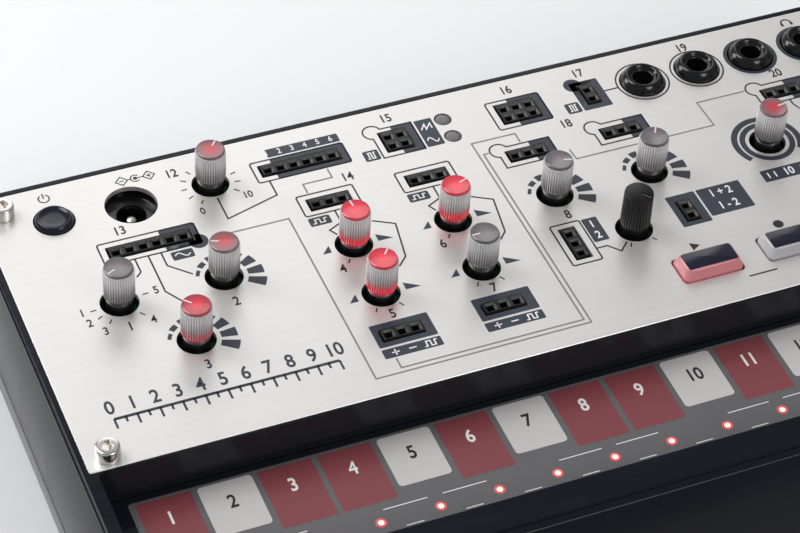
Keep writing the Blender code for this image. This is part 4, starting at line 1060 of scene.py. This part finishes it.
def printPolarity():
    y, plus, thin = polarity["y"], polarity["plus"], ink["thin"]
    for x in (polarity["minus"], plus):
        diamond = [around(x, y, polarity["diamond"], angle) for angle in (0, 90, 180, 270)]
        stroke("black", *diamond, width=thin, closed=True)
        stroke("black", (x - polarity["bar"], y), (x + polarity["bar"], y), width=thin)
    stroke("black", *[(plus, end) for end in polarity["upright"]], width=thin)
    arc("black", polarity["socket"], y, polarity["radius"], *polarity["sweep"], width=thin)
    dot("black", polarity["socket"], y, polarity["pin"])
    for link in polarity["links"]:
        stroke("black", *[(end, y) for end in link], width=thin)


def printButtonSigns():
    sign = buttonSign
    x, y = middleOf("button_play")
    play = (x - sign["playShift"], y + sign["playRise"], sign["playRadius"])
    inkShape("black", *[around(*play, angle) for angle in (0, 120, 240)])
    x, y = middleOf("button_record")
    dot("black", x, y + sign["rise"], sign["recordRadius"])
    x, y = middleOf("button_memory")
    low, high = sign["memoryRise"]
    frameLine("black", (x - sign["memoryHalf"], x + sign["memoryHalf"]), (y + low, y + high))
    x, y = middleOf("button_function")
    ends = [(x + side * sign["dashHalf"], y + sign["rise"]) for side in (-1, 1)]
    stroke("black", *ends, width=sign["dashLine"])


def printSigns():
    x, y = powerSign["x"], powerSign["y"]
    arc("black", x, y, powerSign["radius"], *powerSign["sweep"], width=ink["tick"])
    stroke("black", (x, y), (x, powerSign["top"]), width=ink["tick"])
    printPolarity()
    for index, name in enumerate(jackNames):
        if index < jackPrint["rings"]:
            ring("black", *middleOf(name), jackPrint["ring"])
        else:
            dot("navy", *middleOf(name), jackPrint["disc"], segments=64)
    arc("black", phones["x"], phones["y"], phones["radius"], 0, 180)
    for side in (-1, 1):
        x = phones["x"] + side * phones["radius"]
        stroke("black", *[(x, end) for end in phones["cup"]], width=phones["cupLine"])
    printButtonSigns()


printFields()
printIcons()
printPaths()
printDials()
printNumbers()
printSigns()
print("panel print laid out")


# Touch plate: printed keys, set a clear skin's thickness below its top, with a lamp in front of each
keys = {
    "plateCorner": 0.5,
    "skin": 0.02,
    "field": ((5.7, 180.2), (-26.6, -1.9)),
    "fieldCorner": 0.6,
    "count": 16,
    "first": 11.7,
    "pitch": 10.82,
    "wide": 9.75,
    "rear": -2.45,
    "redFront": -15.65,
    "redCorner": 0.15,
    "whiteFront": -13.7,
    "whiteCorner": 0.7,
    "white": (2, 5, 7, 10, 12, 14),
    "numberY": -7.2,
    "numberSize": 4.0,
    "lampY": -19.95,
    "lampRadius": 0.55,
    "haloRadius": 1.0,
    "markY": -17.4,
    "markGap": 1.4,
    "markGroup": 3,
    "bracketY": -21.9,
    "bracketHalf": 1.6,
    "markLine": 0.18,
}


def makeTouchPlate():
    low, high = panelSpan("touch_plate")
    plate = block((low.x, high.x), (low.y, high.y), (low.z, high.z - keys["skin"]), keys["plateCorner"])
    piece("touchPlate", plate, "plateEdge", nodes=["touch_plate"])
    level = keysDrop - keys["skin"]
    pad("plateGrey", *keys["field"], level=level, radius=keys["fieldCorner"])
    raised = level + ink["lift"]
    above = raised + ink["lift"]
    for index in range(keys["count"]):
        x = keys["first"] + index * keys["pitch"]
        key, figure = ("white", "black") if index + 1 in keys["white"] else ("red", "white")
        span = (x - keys["wide"] / 2, x + keys["wide"] / 2)
        y = (keys[key + "Front"], keys["rear"])
        pad("key" + key.capitalize(), span, y, level=raised, radius=keys[key + "Corner"])
        number(figure, str(index + 1), x, keys["numberY"], keys["numberSize"], level=above)
        # painted pool of light round the key lamp
        dot("ledHalo", x, keys["lampY"], keys["haloRadius"], level=raised)
        dot("ledLit", x, keys["lampY"], keys["lampRadius"], level=above)
        reach = (x + keys["markGap"], x + keys["pitch"] - keys["markGap"])
        if (index + 1) % keys["markGroup"]:
            stroke("white", *[(end, keys["markY"]) for end in reach], width=keys["markLine"], level=raised)
        between = x + keys["pitch"] / 2
        dash = (between - keys["bracketHalf"], between + keys["bracketHalf"])
        stroke("white", *[(end, keys["bracketY"]) for end in dash], width=keys["markLine"], level=raised)


makeTouchPlate()
print("touch plate laid out")

slotOfInk = dict.fromkeys(("plateGrey", "keyRed", "keyWhite"), "key_plate")
panelInks = ("navy", "black", "grey", "white")


def makePrints():
    for (colour, width, level, over), lines in strokes.items():
        pour(inkPads[colour], strokeWalls(lines, width, level, over))
    for colour, bm in inkPads.items():
        if colour in panelInks:
            bm = cutBy(bm, panelHoles(ink["cut"]), crossing=True)
        piece("print" + colour[0].upper() + colour[1:], bm, colour, crease=30)


makePrints()
print("prints made")


# Knobs: a ribbed clear body on a shaft, with a coloured cap that carries a painted glow from the lamp below
knob = {
    "ribs": 38,
    "ribDepth": 0.26,
    "radius": 2.83,
    "top": 8.7,
    "capFoot": 8.15,
    "capRadius": 2.62,
    "bellyFoot": 2.3,
    "skirtRadius": 2.55,
    "skirtFoot": -2.4,
    "coreRadius": 1.75,
    "coreFoot": -8.0,
    "pointerWide": 0.30,
    "edge": 0.22,
}
# How brightly the painted glow of the lamp under each knob burns: its cap's heart and brim, its glow and its
# body
lampLevels = {
    "bright": ((0.80, 0.050, 0.080, 1), (0.50, 0.034, 0.056, 1), 0.24, "clearLit"),
    "medium": ((0.74, 0.045, 0.070, 1), (0.34, 0.048, 0.065, 1), 0.14, "clearWarm"),
    "dim": ((0.58, 0.035, 0.040, 1), (0.21, 0.120, 0.128, 1), 0.06, "clear"),
    "off": ((0.22, 0.200, 0.205, 1), (0.135, 0.120, 0.126, 1), 0.0, "clear"),
}
knobLamps = {
    "knob_attack": "bright", "knob_release": "bright", "knob_shape": "bright",
    "knob_fold": "medium", "knob_mod": "dim", "knob_tempo": "dim", "knob_amount": "dim",
}
pointerAngles = {
    "knob_ratio": 205, "knob_fold": 135, "knob_mod": 160, "knob_tempo": 50, "knob_attack": 95,
    "knob_release": 50, "knob_shape": 20, "knob_time": 180, "knob_cutoff_a": -20, "knob_cutoff_b": 60,
    "knob_amount": 5, "knob_blend": -50, "knob_volume": 90,
}


# Levels are (radius, height, share of the rib depth); each is the last one's top face, extruded
def ribbed(levels, x, y, ribs, depth):
    ribShape = (0.0, 0.2, 1.0, 0.2)  # how far the points of one rib draw in
    bm = bmesh.new()
    count = ribs * len(ribShape)
    bmesh.ops.create_circle(bm, cap_ends=True, segments=count, radius=1.0)
    top = bm.faces[:][0]
    for level, (radius, height, share) in enumerate(levels):
        if level:
            grown = bmesh.ops.extrude_face_region(bm, geom=[top])
            if level > 1:
                bmesh.ops.delete(bm, geom=[top], context="FACES_ONLY")
            top = next(item for item in grown["geom"] if isinstance(item, bmesh.types.BMFace))
        for index, vert in enumerate(sorted(top.verts, key=lambda vert: math.atan2(vert.co.y, vert.co.x))):
            angle = 2 * math.pi * index / count
            reach = (radius - depth * share * ribShape[index % len(ribShape)]) * mm
            vert.co = (reach * math.cos(angle - math.pi), reach * math.sin(angle - math.pi), height * mm)
    bmesh.ops.recalc_face_normals(bm, faces=bm.faces)
    bmesh.ops.translate(bm, vec=onPanel(x, y), verts=bm.verts)
    return bm


def pointerBar(name, inner, outer, low, high, wide):
    x, y = knobAt(name)
    bar = block((inner, outer), (-wide / 2, wide / 2), (low, high), wide * 0.3, segments=2)
    middle = onPanel(0, 0)
    bmesh.ops.translate(bar, vec=(-middle.x, -middle.y, 0), verts=bar.verts)
    turn = Matrix.Rotation(math.radians(pointerAngles[name]), 3, "Z")
    bmesh.ops.rotate(bar, cent=(0, 0, 0), matrix=turn, verts=bar.verts)
    place = onPanel(x, y)
    bmesh.ops.translate(bar, vec=(place.x, place.y, 0), verts=bar.verts)
    return bar


def makeClearKnob(name):
    x, y = knobAt(name)
    label = labelOf(name)
    radius, skirt, foot = knob["radius"], knob["skirtRadius"], knob["skirtFoot"]
    belly, cap, top, edge = knob["bellyFoot"], knob["capFoot"], knob["top"], knob["edge"]
    stem, stemFoot, capRadius = knob["coreRadius"], knob["coreFoot"], knob["capRadius"]
    levels = [
        (skirt - 0.1, foot, 0), (skirt, foot + 0.2, 0), (skirt, belly - 0.3, 0), (radius - 0.05, belly, 0.5),
        (radius, belly + 0.15, 1), (radius, cap - 0.15, 1), (radius - 0.1, cap, 1),
    ]
    body = ribbed(levels, x, y, knob["ribs"], knob["ribDepth"])
    coreProfile = [
        (0, stemFoot), (stem + 0.2, stemFoot), (stem + 0.2, -3.5), (stem, -3.0), (stem, cap - 0.4),
        (0, cap - 0.4),
    ]
    core = turned(coreProfile, x, y)
    heart, brim, glow, bodyFinish = lampLevels[knobLamps.get(name, "off")]
    capFinish = label + "Paint"
    finishes[capFinish] = paintedGlowCap(capFinish, x, y, capRadius, heart, brim, glow)
    body = cutBy(body, rod(x, y, stem + 0.06, (foot - past, cap - 0.3), 48))
    piece(label + "Body", body, bodyFinish, body=name, nodes=[name], crease=32)
    piece(label + "Core", core, "core", body=name)
    capProfile = [
        (0, cap + 0.02), (capRadius, cap + 0.02), (capRadius, top - edge), (capRadius - 0.07, top - 0.07),
        (capRadius - edge, top), (capRadius - 0.5, top - 0.05), (0, top - 0.05),
    ]
    capShape = turned(capProfile, x, y, 64)
    piece(label + "Cap", capShape, capFinish, body=name, crease=30)
    bar = pointerBar(name, 0.9, capRadius - 0.15, top - 0.2, top - 0.005, knob["pointerWide"])
    piece(label + "Pointer", bar, "pointer", body=name)


blackKnob = {
    "nodes": ("knob_blend", "knob_volume"),
    "radius": 2.8,
    "topRadius": 2.66,
    "top": 9.0,
    "ribs": 30,
    "ribDepth": 0.22,
    "foot": 1.9,
    "collar": 2.6,
    "stem": 2.0,
    "stemFoot": -8.0,
}


def makeBlackKnob(name):
    x, y = knobAt(name)
    label = labelOf(name)
    radius, topRadius, top, foot = (blackKnob[key] for key in ("radius", "topRadius", "top", "foot"))
    stem, collar = blackKnob["stem"], blackKnob["collar"]
    levels = [
        (stem, blackKnob["stemFoot"], 0), (stem, -3.2, 0), (collar, -3.0, 0), (collar, foot - 0.3, 0),
        (radius - 0.05, foot, 0.4), (radius, foot + 0.2, 1), (topRadius + 0.02, top - 0.32, 1),
        (topRadius, top - 0.16, 0.6), (topRadius - 0.08, top - 0.04, 0), (topRadius - 0.22, top, 0),
    ]
    body = ribbed(levels, x, y, blackKnob["ribs"], blackKnob["ribDepth"])
    body = cutBy(body, pointerBar(name, 0.4, radius + past, top - 0.35, top + past, 0.5))
    piece(label + "Body", body, "knobBlack", body=name, nodes=[name], crease=50)
    line = pointerBar(name, 0.45, topRadius - 0.2, top - 0.4, top - 0.3, 0.4)
    piece(label + "Pointer", line, "grey", body=name)


for knobName in knobNames:
    if knobName in blackKnob["nodes"]:
        makeBlackKnob(knobName)
    else:
        makeClearKnob(knobName)
print("knobs made:", len(knobNames))


# Buttons: a frosted cap that shows as a border round a dark insert
button = {
    "wide": 11.8,
    "deep": 6.0,
    "top": 2.15,
    "foot": -1.6,
    "draft": 0.75,
    "corner": 1.0,
    "rim": 0.35,
    "insertWide": 9.9,
    "insertDeep": 4.1,
    "insertCorner": 0.5,
    "insertProud": 0.04,
}


def makeButtons():
    wide, deep, top, corner = (button[key] for key in ("wide", "deep", "top", "corner"))
    for name in buttonNames:
        x, y = middleOf(name)
        label = labelOf(name)
        lowX, lowY = (x - wide / 2, x + wide / 2), (y - deep / 2, y + deep / 2)
        highX, highY = inset(lowX, button["draft"]), inset(lowY, button["draft"])
        cap = tapered(lowX, lowY, highX, highY, (0.2, top), corner, rim=button["rim"], rimSegments=4)
        cap = joinedTo(cap, block(lowX, lowY, (button["foot"], 0.3), corner, segments=6))
        # the play button's cap carries painted light from its lamp
        finish = "frostLit" if name == "button_play" else "frost"
        piece(label + "Cap", cap, finish, body=name, nodes=[name], crease=40)
        size = (button["insertWide"], button["insertDeep"])
        insert = blockAt(x, y, *size, (top - 0.3, top - 0.01), button["insertCorner"], rim=0.08)
        bmesh.ops.translate(insert, vec=(0, 0, button["insertProud"] * mm), verts=insert.verts)
        piece(label + "Insert", insert, "insert", body=name)


def makePowerButton():
    profile = [
        (0, -2.5), (3.55, -2.5), (3.6, 0.0), (3.52, 0.25), (3.2, 0.78), (3.08, 0.93), (2.9, 1.0),
        (2.72, 0.98), (2.6, 0.9), (1.4, 0.82), (0, 0.8),
    ]
    cap = turned(profile, *middleOf("power_button"), 72)
    nodes = ["power_button"]
    piece("powerCap", cap, "power", body="power_button", nodes=nodes, crease=40)


makeButtons()
makePowerButton()
print("buttons made")


# Patch headers: a moulded block with a bevelled mouth at each square socket
header = {"socket": 1.25, "mouth": 1.95, "mouthDeep": 0.38, "deep": 4.0, "corner": 0.12, "edge": 0.1}


def socketCutter(x, y, top):
    side, wide = header["socket"], header["mouth"]
    mouthFoot = top - header["mouthDeep"]
    shaft = blockAt(x, y, side, side, (top - header["deep"], mouthFoot + 0.05))
    mouth = tapered(
        (x - side / 2, x + side / 2), (y - side / 2, y + side / 2),
        (x - wide / 2, x + wide / 2), (y - wide / 2, y + wide / 2), (mouthFoot, top + 0.02),
    )
    return shaft, mouth


def makeHeaders():
    for name in headerNames:
        low, high = panelSpan(name)
        body = block(
            (low.x, high.x), (low.y, high.y), (low.z, high.z),
            header["corner"], segments=2, rim=header["edge"], rimSegments=2,
        )
        columns, rows = round((high.x - low.x) / socketPitch), round((high.y - low.y) / socketPitch)
        mouths, shafts = bmesh.new(), bmesh.new()
        for column in range(columns):
            for row in range(rows):
                x, y = low.x + (column + 0.5) * socketPitch, low.y + (row + 0.5) * socketPitch
                shaft, mouth = socketCutter(x, y, high.z)
                pour(shafts, shaft)
                pour(mouths, mouth)
        piece(labelOf(name), cutBy(body, mouths, shafts), "socket", nodes=[name])


# Plug sockets: a domed collar with a bore, and a sprung sleeve inside
jack = {"bore": 1.9, "sleeve": 1.88, "foot": -6.0, "sleeveFoot": -7.0, "floorFoot": -7.6, "bodyCorner": 0.3}


def makeJacks():
    bore, foot, sleeveFoot, outer = jack["bore"], jack["foot"], jack["sleeveFoot"], jack["sleeve"]
    for count, name in enumerate(jackNames, 1):
        x, y = middleOf(name)
        low, high = panelSpan(name)
        top = high.z
        profile = [
            (bore, foot), (4.3, foot), (4.3, 0.02), (4.33, 0.2), (4.25, 0.45), (3.95, 1.05), (3.62, 1.5),
            (3.4, 1.72), (3.2, top), (2.95, top - 0.02), (2.75, top - 0.15), (2.62, top - 0.45),
            (2.5, top - 0.6), (2.15, top - 0.62), (1.98, top - 0.75), (bore, top - 1.0), (bore, foot),
        ]
        collar = turned(profile, x, y, 72)
        piece(f"jackCollar{count}", collar, "jack", nodes=[name], crease=40)
        sleeve = [
            (1.55, sleeveFoot), (outer, sleeveFoot), (outer, top - 4.2), (1.6, top - 4.3),
            (1.55, sleeveFoot),
        ]
        piece(f"jackSleeve{count}", turned(sleeve, x, y), "contact")
        floor = rod(x, y, outer, (jack["floorFoot"], sleeveFoot))
        piece(f"jackFloor{count}", floor, "socketWell")
        body = block((low.x, high.x), (low.y, high.y), (low.z, foot), jack["bodyCorner"])
        piece(f"jackBody{count}", body, "socket")


def makePowerSocket():
    x, y = middleOf("dc_jack")
    low = panelSpan("dc_jack")[0].z
    profile = [
        (0, -11.0), (2.55, -11.0), (2.55, -3.2), (2.8, -2.75), (4.1, -2.7), (4.78, -2.5), (4.8, -1.4),
        (4.8, -1.3), (5.7, -1.3), (5.7, -3.0), (5.7, low), (0, low), (0, -11.0),
    ]
    shell = turned(profile, x, y, 72)
    piece("powerSocket", shell, "jack", nodes=["dc_jack"], crease=40)
    pin = turned([(0, -10.9), (0.95, -10.9), (0.95, -4.0), (0.85, -3.6), (0.5, -3.4), (0, -3.35)], x, y, 32)
    piece("powerPin", pin, "contact")


# Cap screws with a hexagon socket
def makeScrews():
    profile = [
        (0, -6.5), (1.25, -6.5), (1.25, 0.03), (2.05, 0.04), (2.15, 0.14), (2.15, 2.2), (2.12, 2.36),
        (2.02, 2.5), (1.86, 2.58), (1.68, 2.6), (0, 2.6),
    ]
    for corner in corners:
        name = "panel_screw_" + corner
        x, y = middleOf(name)
        hexagon = turned([(0, 1.2), (1.25, 1.2), (1.25, 3.5), (0, 3.5)], x, y, 6)
        head = cutBy(turned(profile, x, y, 64), hexagon)
        piece(labelOf(name), head, "steel", nodes=[name], crease=30)


def makeLamps():
    profile = [(0, -3.0), (1.46, -3.0), (1.46, -0.35), (1.42, -0.14), (1.3, -0.07), (0.8, -0.03), (0, -0.02)]
    for count, y in enumerate(panel["lampY"], 1):
        piece(f"lampDome{count}", turned(profile, panel["lampX"], y, 40), "lamp")


makeHeaders()
makeJacks()
makePowerSocket()
makeScrews()
makeLamps()
print("sockets, screws and lamps made")


# Rubber feet with a rounded lip, and the nodes that keep their CAD shape
def makeFeet():
    for corner in corners:
        name = "foot_" + corner
        low, high = panelSpan(name)
        radius = (high.x - low.x) / 2
        profile = [
            (0, low.z + 0.15), (radius - 1.2, low.z + 0.15), (radius - 0.9, low.z), (radius - 0.35, low.z),
            (radius - 0.08, low.z + 0.12), (radius, low.z + 0.4), (radius, high.z), (0, high.z),
        ]
        foot = turned(profile, *middleOf(name), 64)
        piece(labelOf(name), foot, "rubber", nodes=[name], crease=50)


keptNodes = {
    "main_board": "board",
    "keyboard_board": "board",
    "battery_door": "case",
    "contacts_front": "contact",
    "contacts_rear": "contact",
    "speaker": "speaker",
    "ribbon_cable": "ribbon",
}


def dressKeptNodes():
    for corner in corners:
        keptNodes["case_screw_" + corner] = "steel"
    for name, finish in keptNodes.items():
        data = frame["nodes"][name].data
        data.materials.clear()
        data.materials.append(finishes[finish])


makeFeet()
dressKeptNodes()
print("feet made and kept nodes dressed")


# A plain pale floor and soft light; each lamp has its place, width and power
studio = {
    "floor": (0.80, 0.80, 0.81),
    "sky": (0.95, 0.97, 1.0, 1),
    "world": 0.34,
    "aim": (0, 0, 0.02),
    "lamps": {
        "keyLight": ((-0.38, 0.30, 0.62), 0.45, 3.4),
        "fillLight": ((0.24, -0.58, 0.54), 0.40, 2.0),
        "backLight": ((0.15, 0.65, 0.40), 0.50, 1.0),
        "edgeLight": ((-0.62, 0.56, 0.28), 0.35, 2.2),
    },
}


def makeFloor():
    bm = bmesh.new()
    bmesh.ops.create_grid(bm, x_segments=1, y_segments=1, size=3)
    mesh = bpy.data.meshes.new("studioFloor")
    bm.to_mesh(mesh)
    bm.free()
    mesh.materials.append(plastic("floorPaint", studio["floor"], 0.6, grain=60.0, vary=0.01))
    obj = bpy.data.objects.new("studioFloor", mesh)
    bpy.context.scene.collection.objects.link(obj)


def makeLight(name, place, size, power):
    data = bpy.data.lights.new(name, "AREA")
    data.shape, data.size, data.energy = "DISK", size, power
    obj = bpy.data.objects.new(name, data)
    bpy.context.scene.collection.objects.link(obj)
    obj.location = place
    obj.rotation_euler = (Vector(studio["aim"]) - Vector(place)).to_track_quat("-Z", "Y").to_euler()


def makeWorld():
    world = bpy.data.worlds.new("studioWorld")
    world.use_nodes = True
    world.node_tree.nodes["Background"].inputs["Color"].default_value = studio["sky"]
    world.node_tree.nodes["Background"].inputs["Strength"].default_value = studio["world"]
    bpy.context.scene.world = world


makeFloor()
makeWorld()
for lampName, settings in studio["lamps"].items():
    makeLight(lampName, *settings)
bpy.context.scene.view_settings.view_transform = "Standard"
print("studio lit")
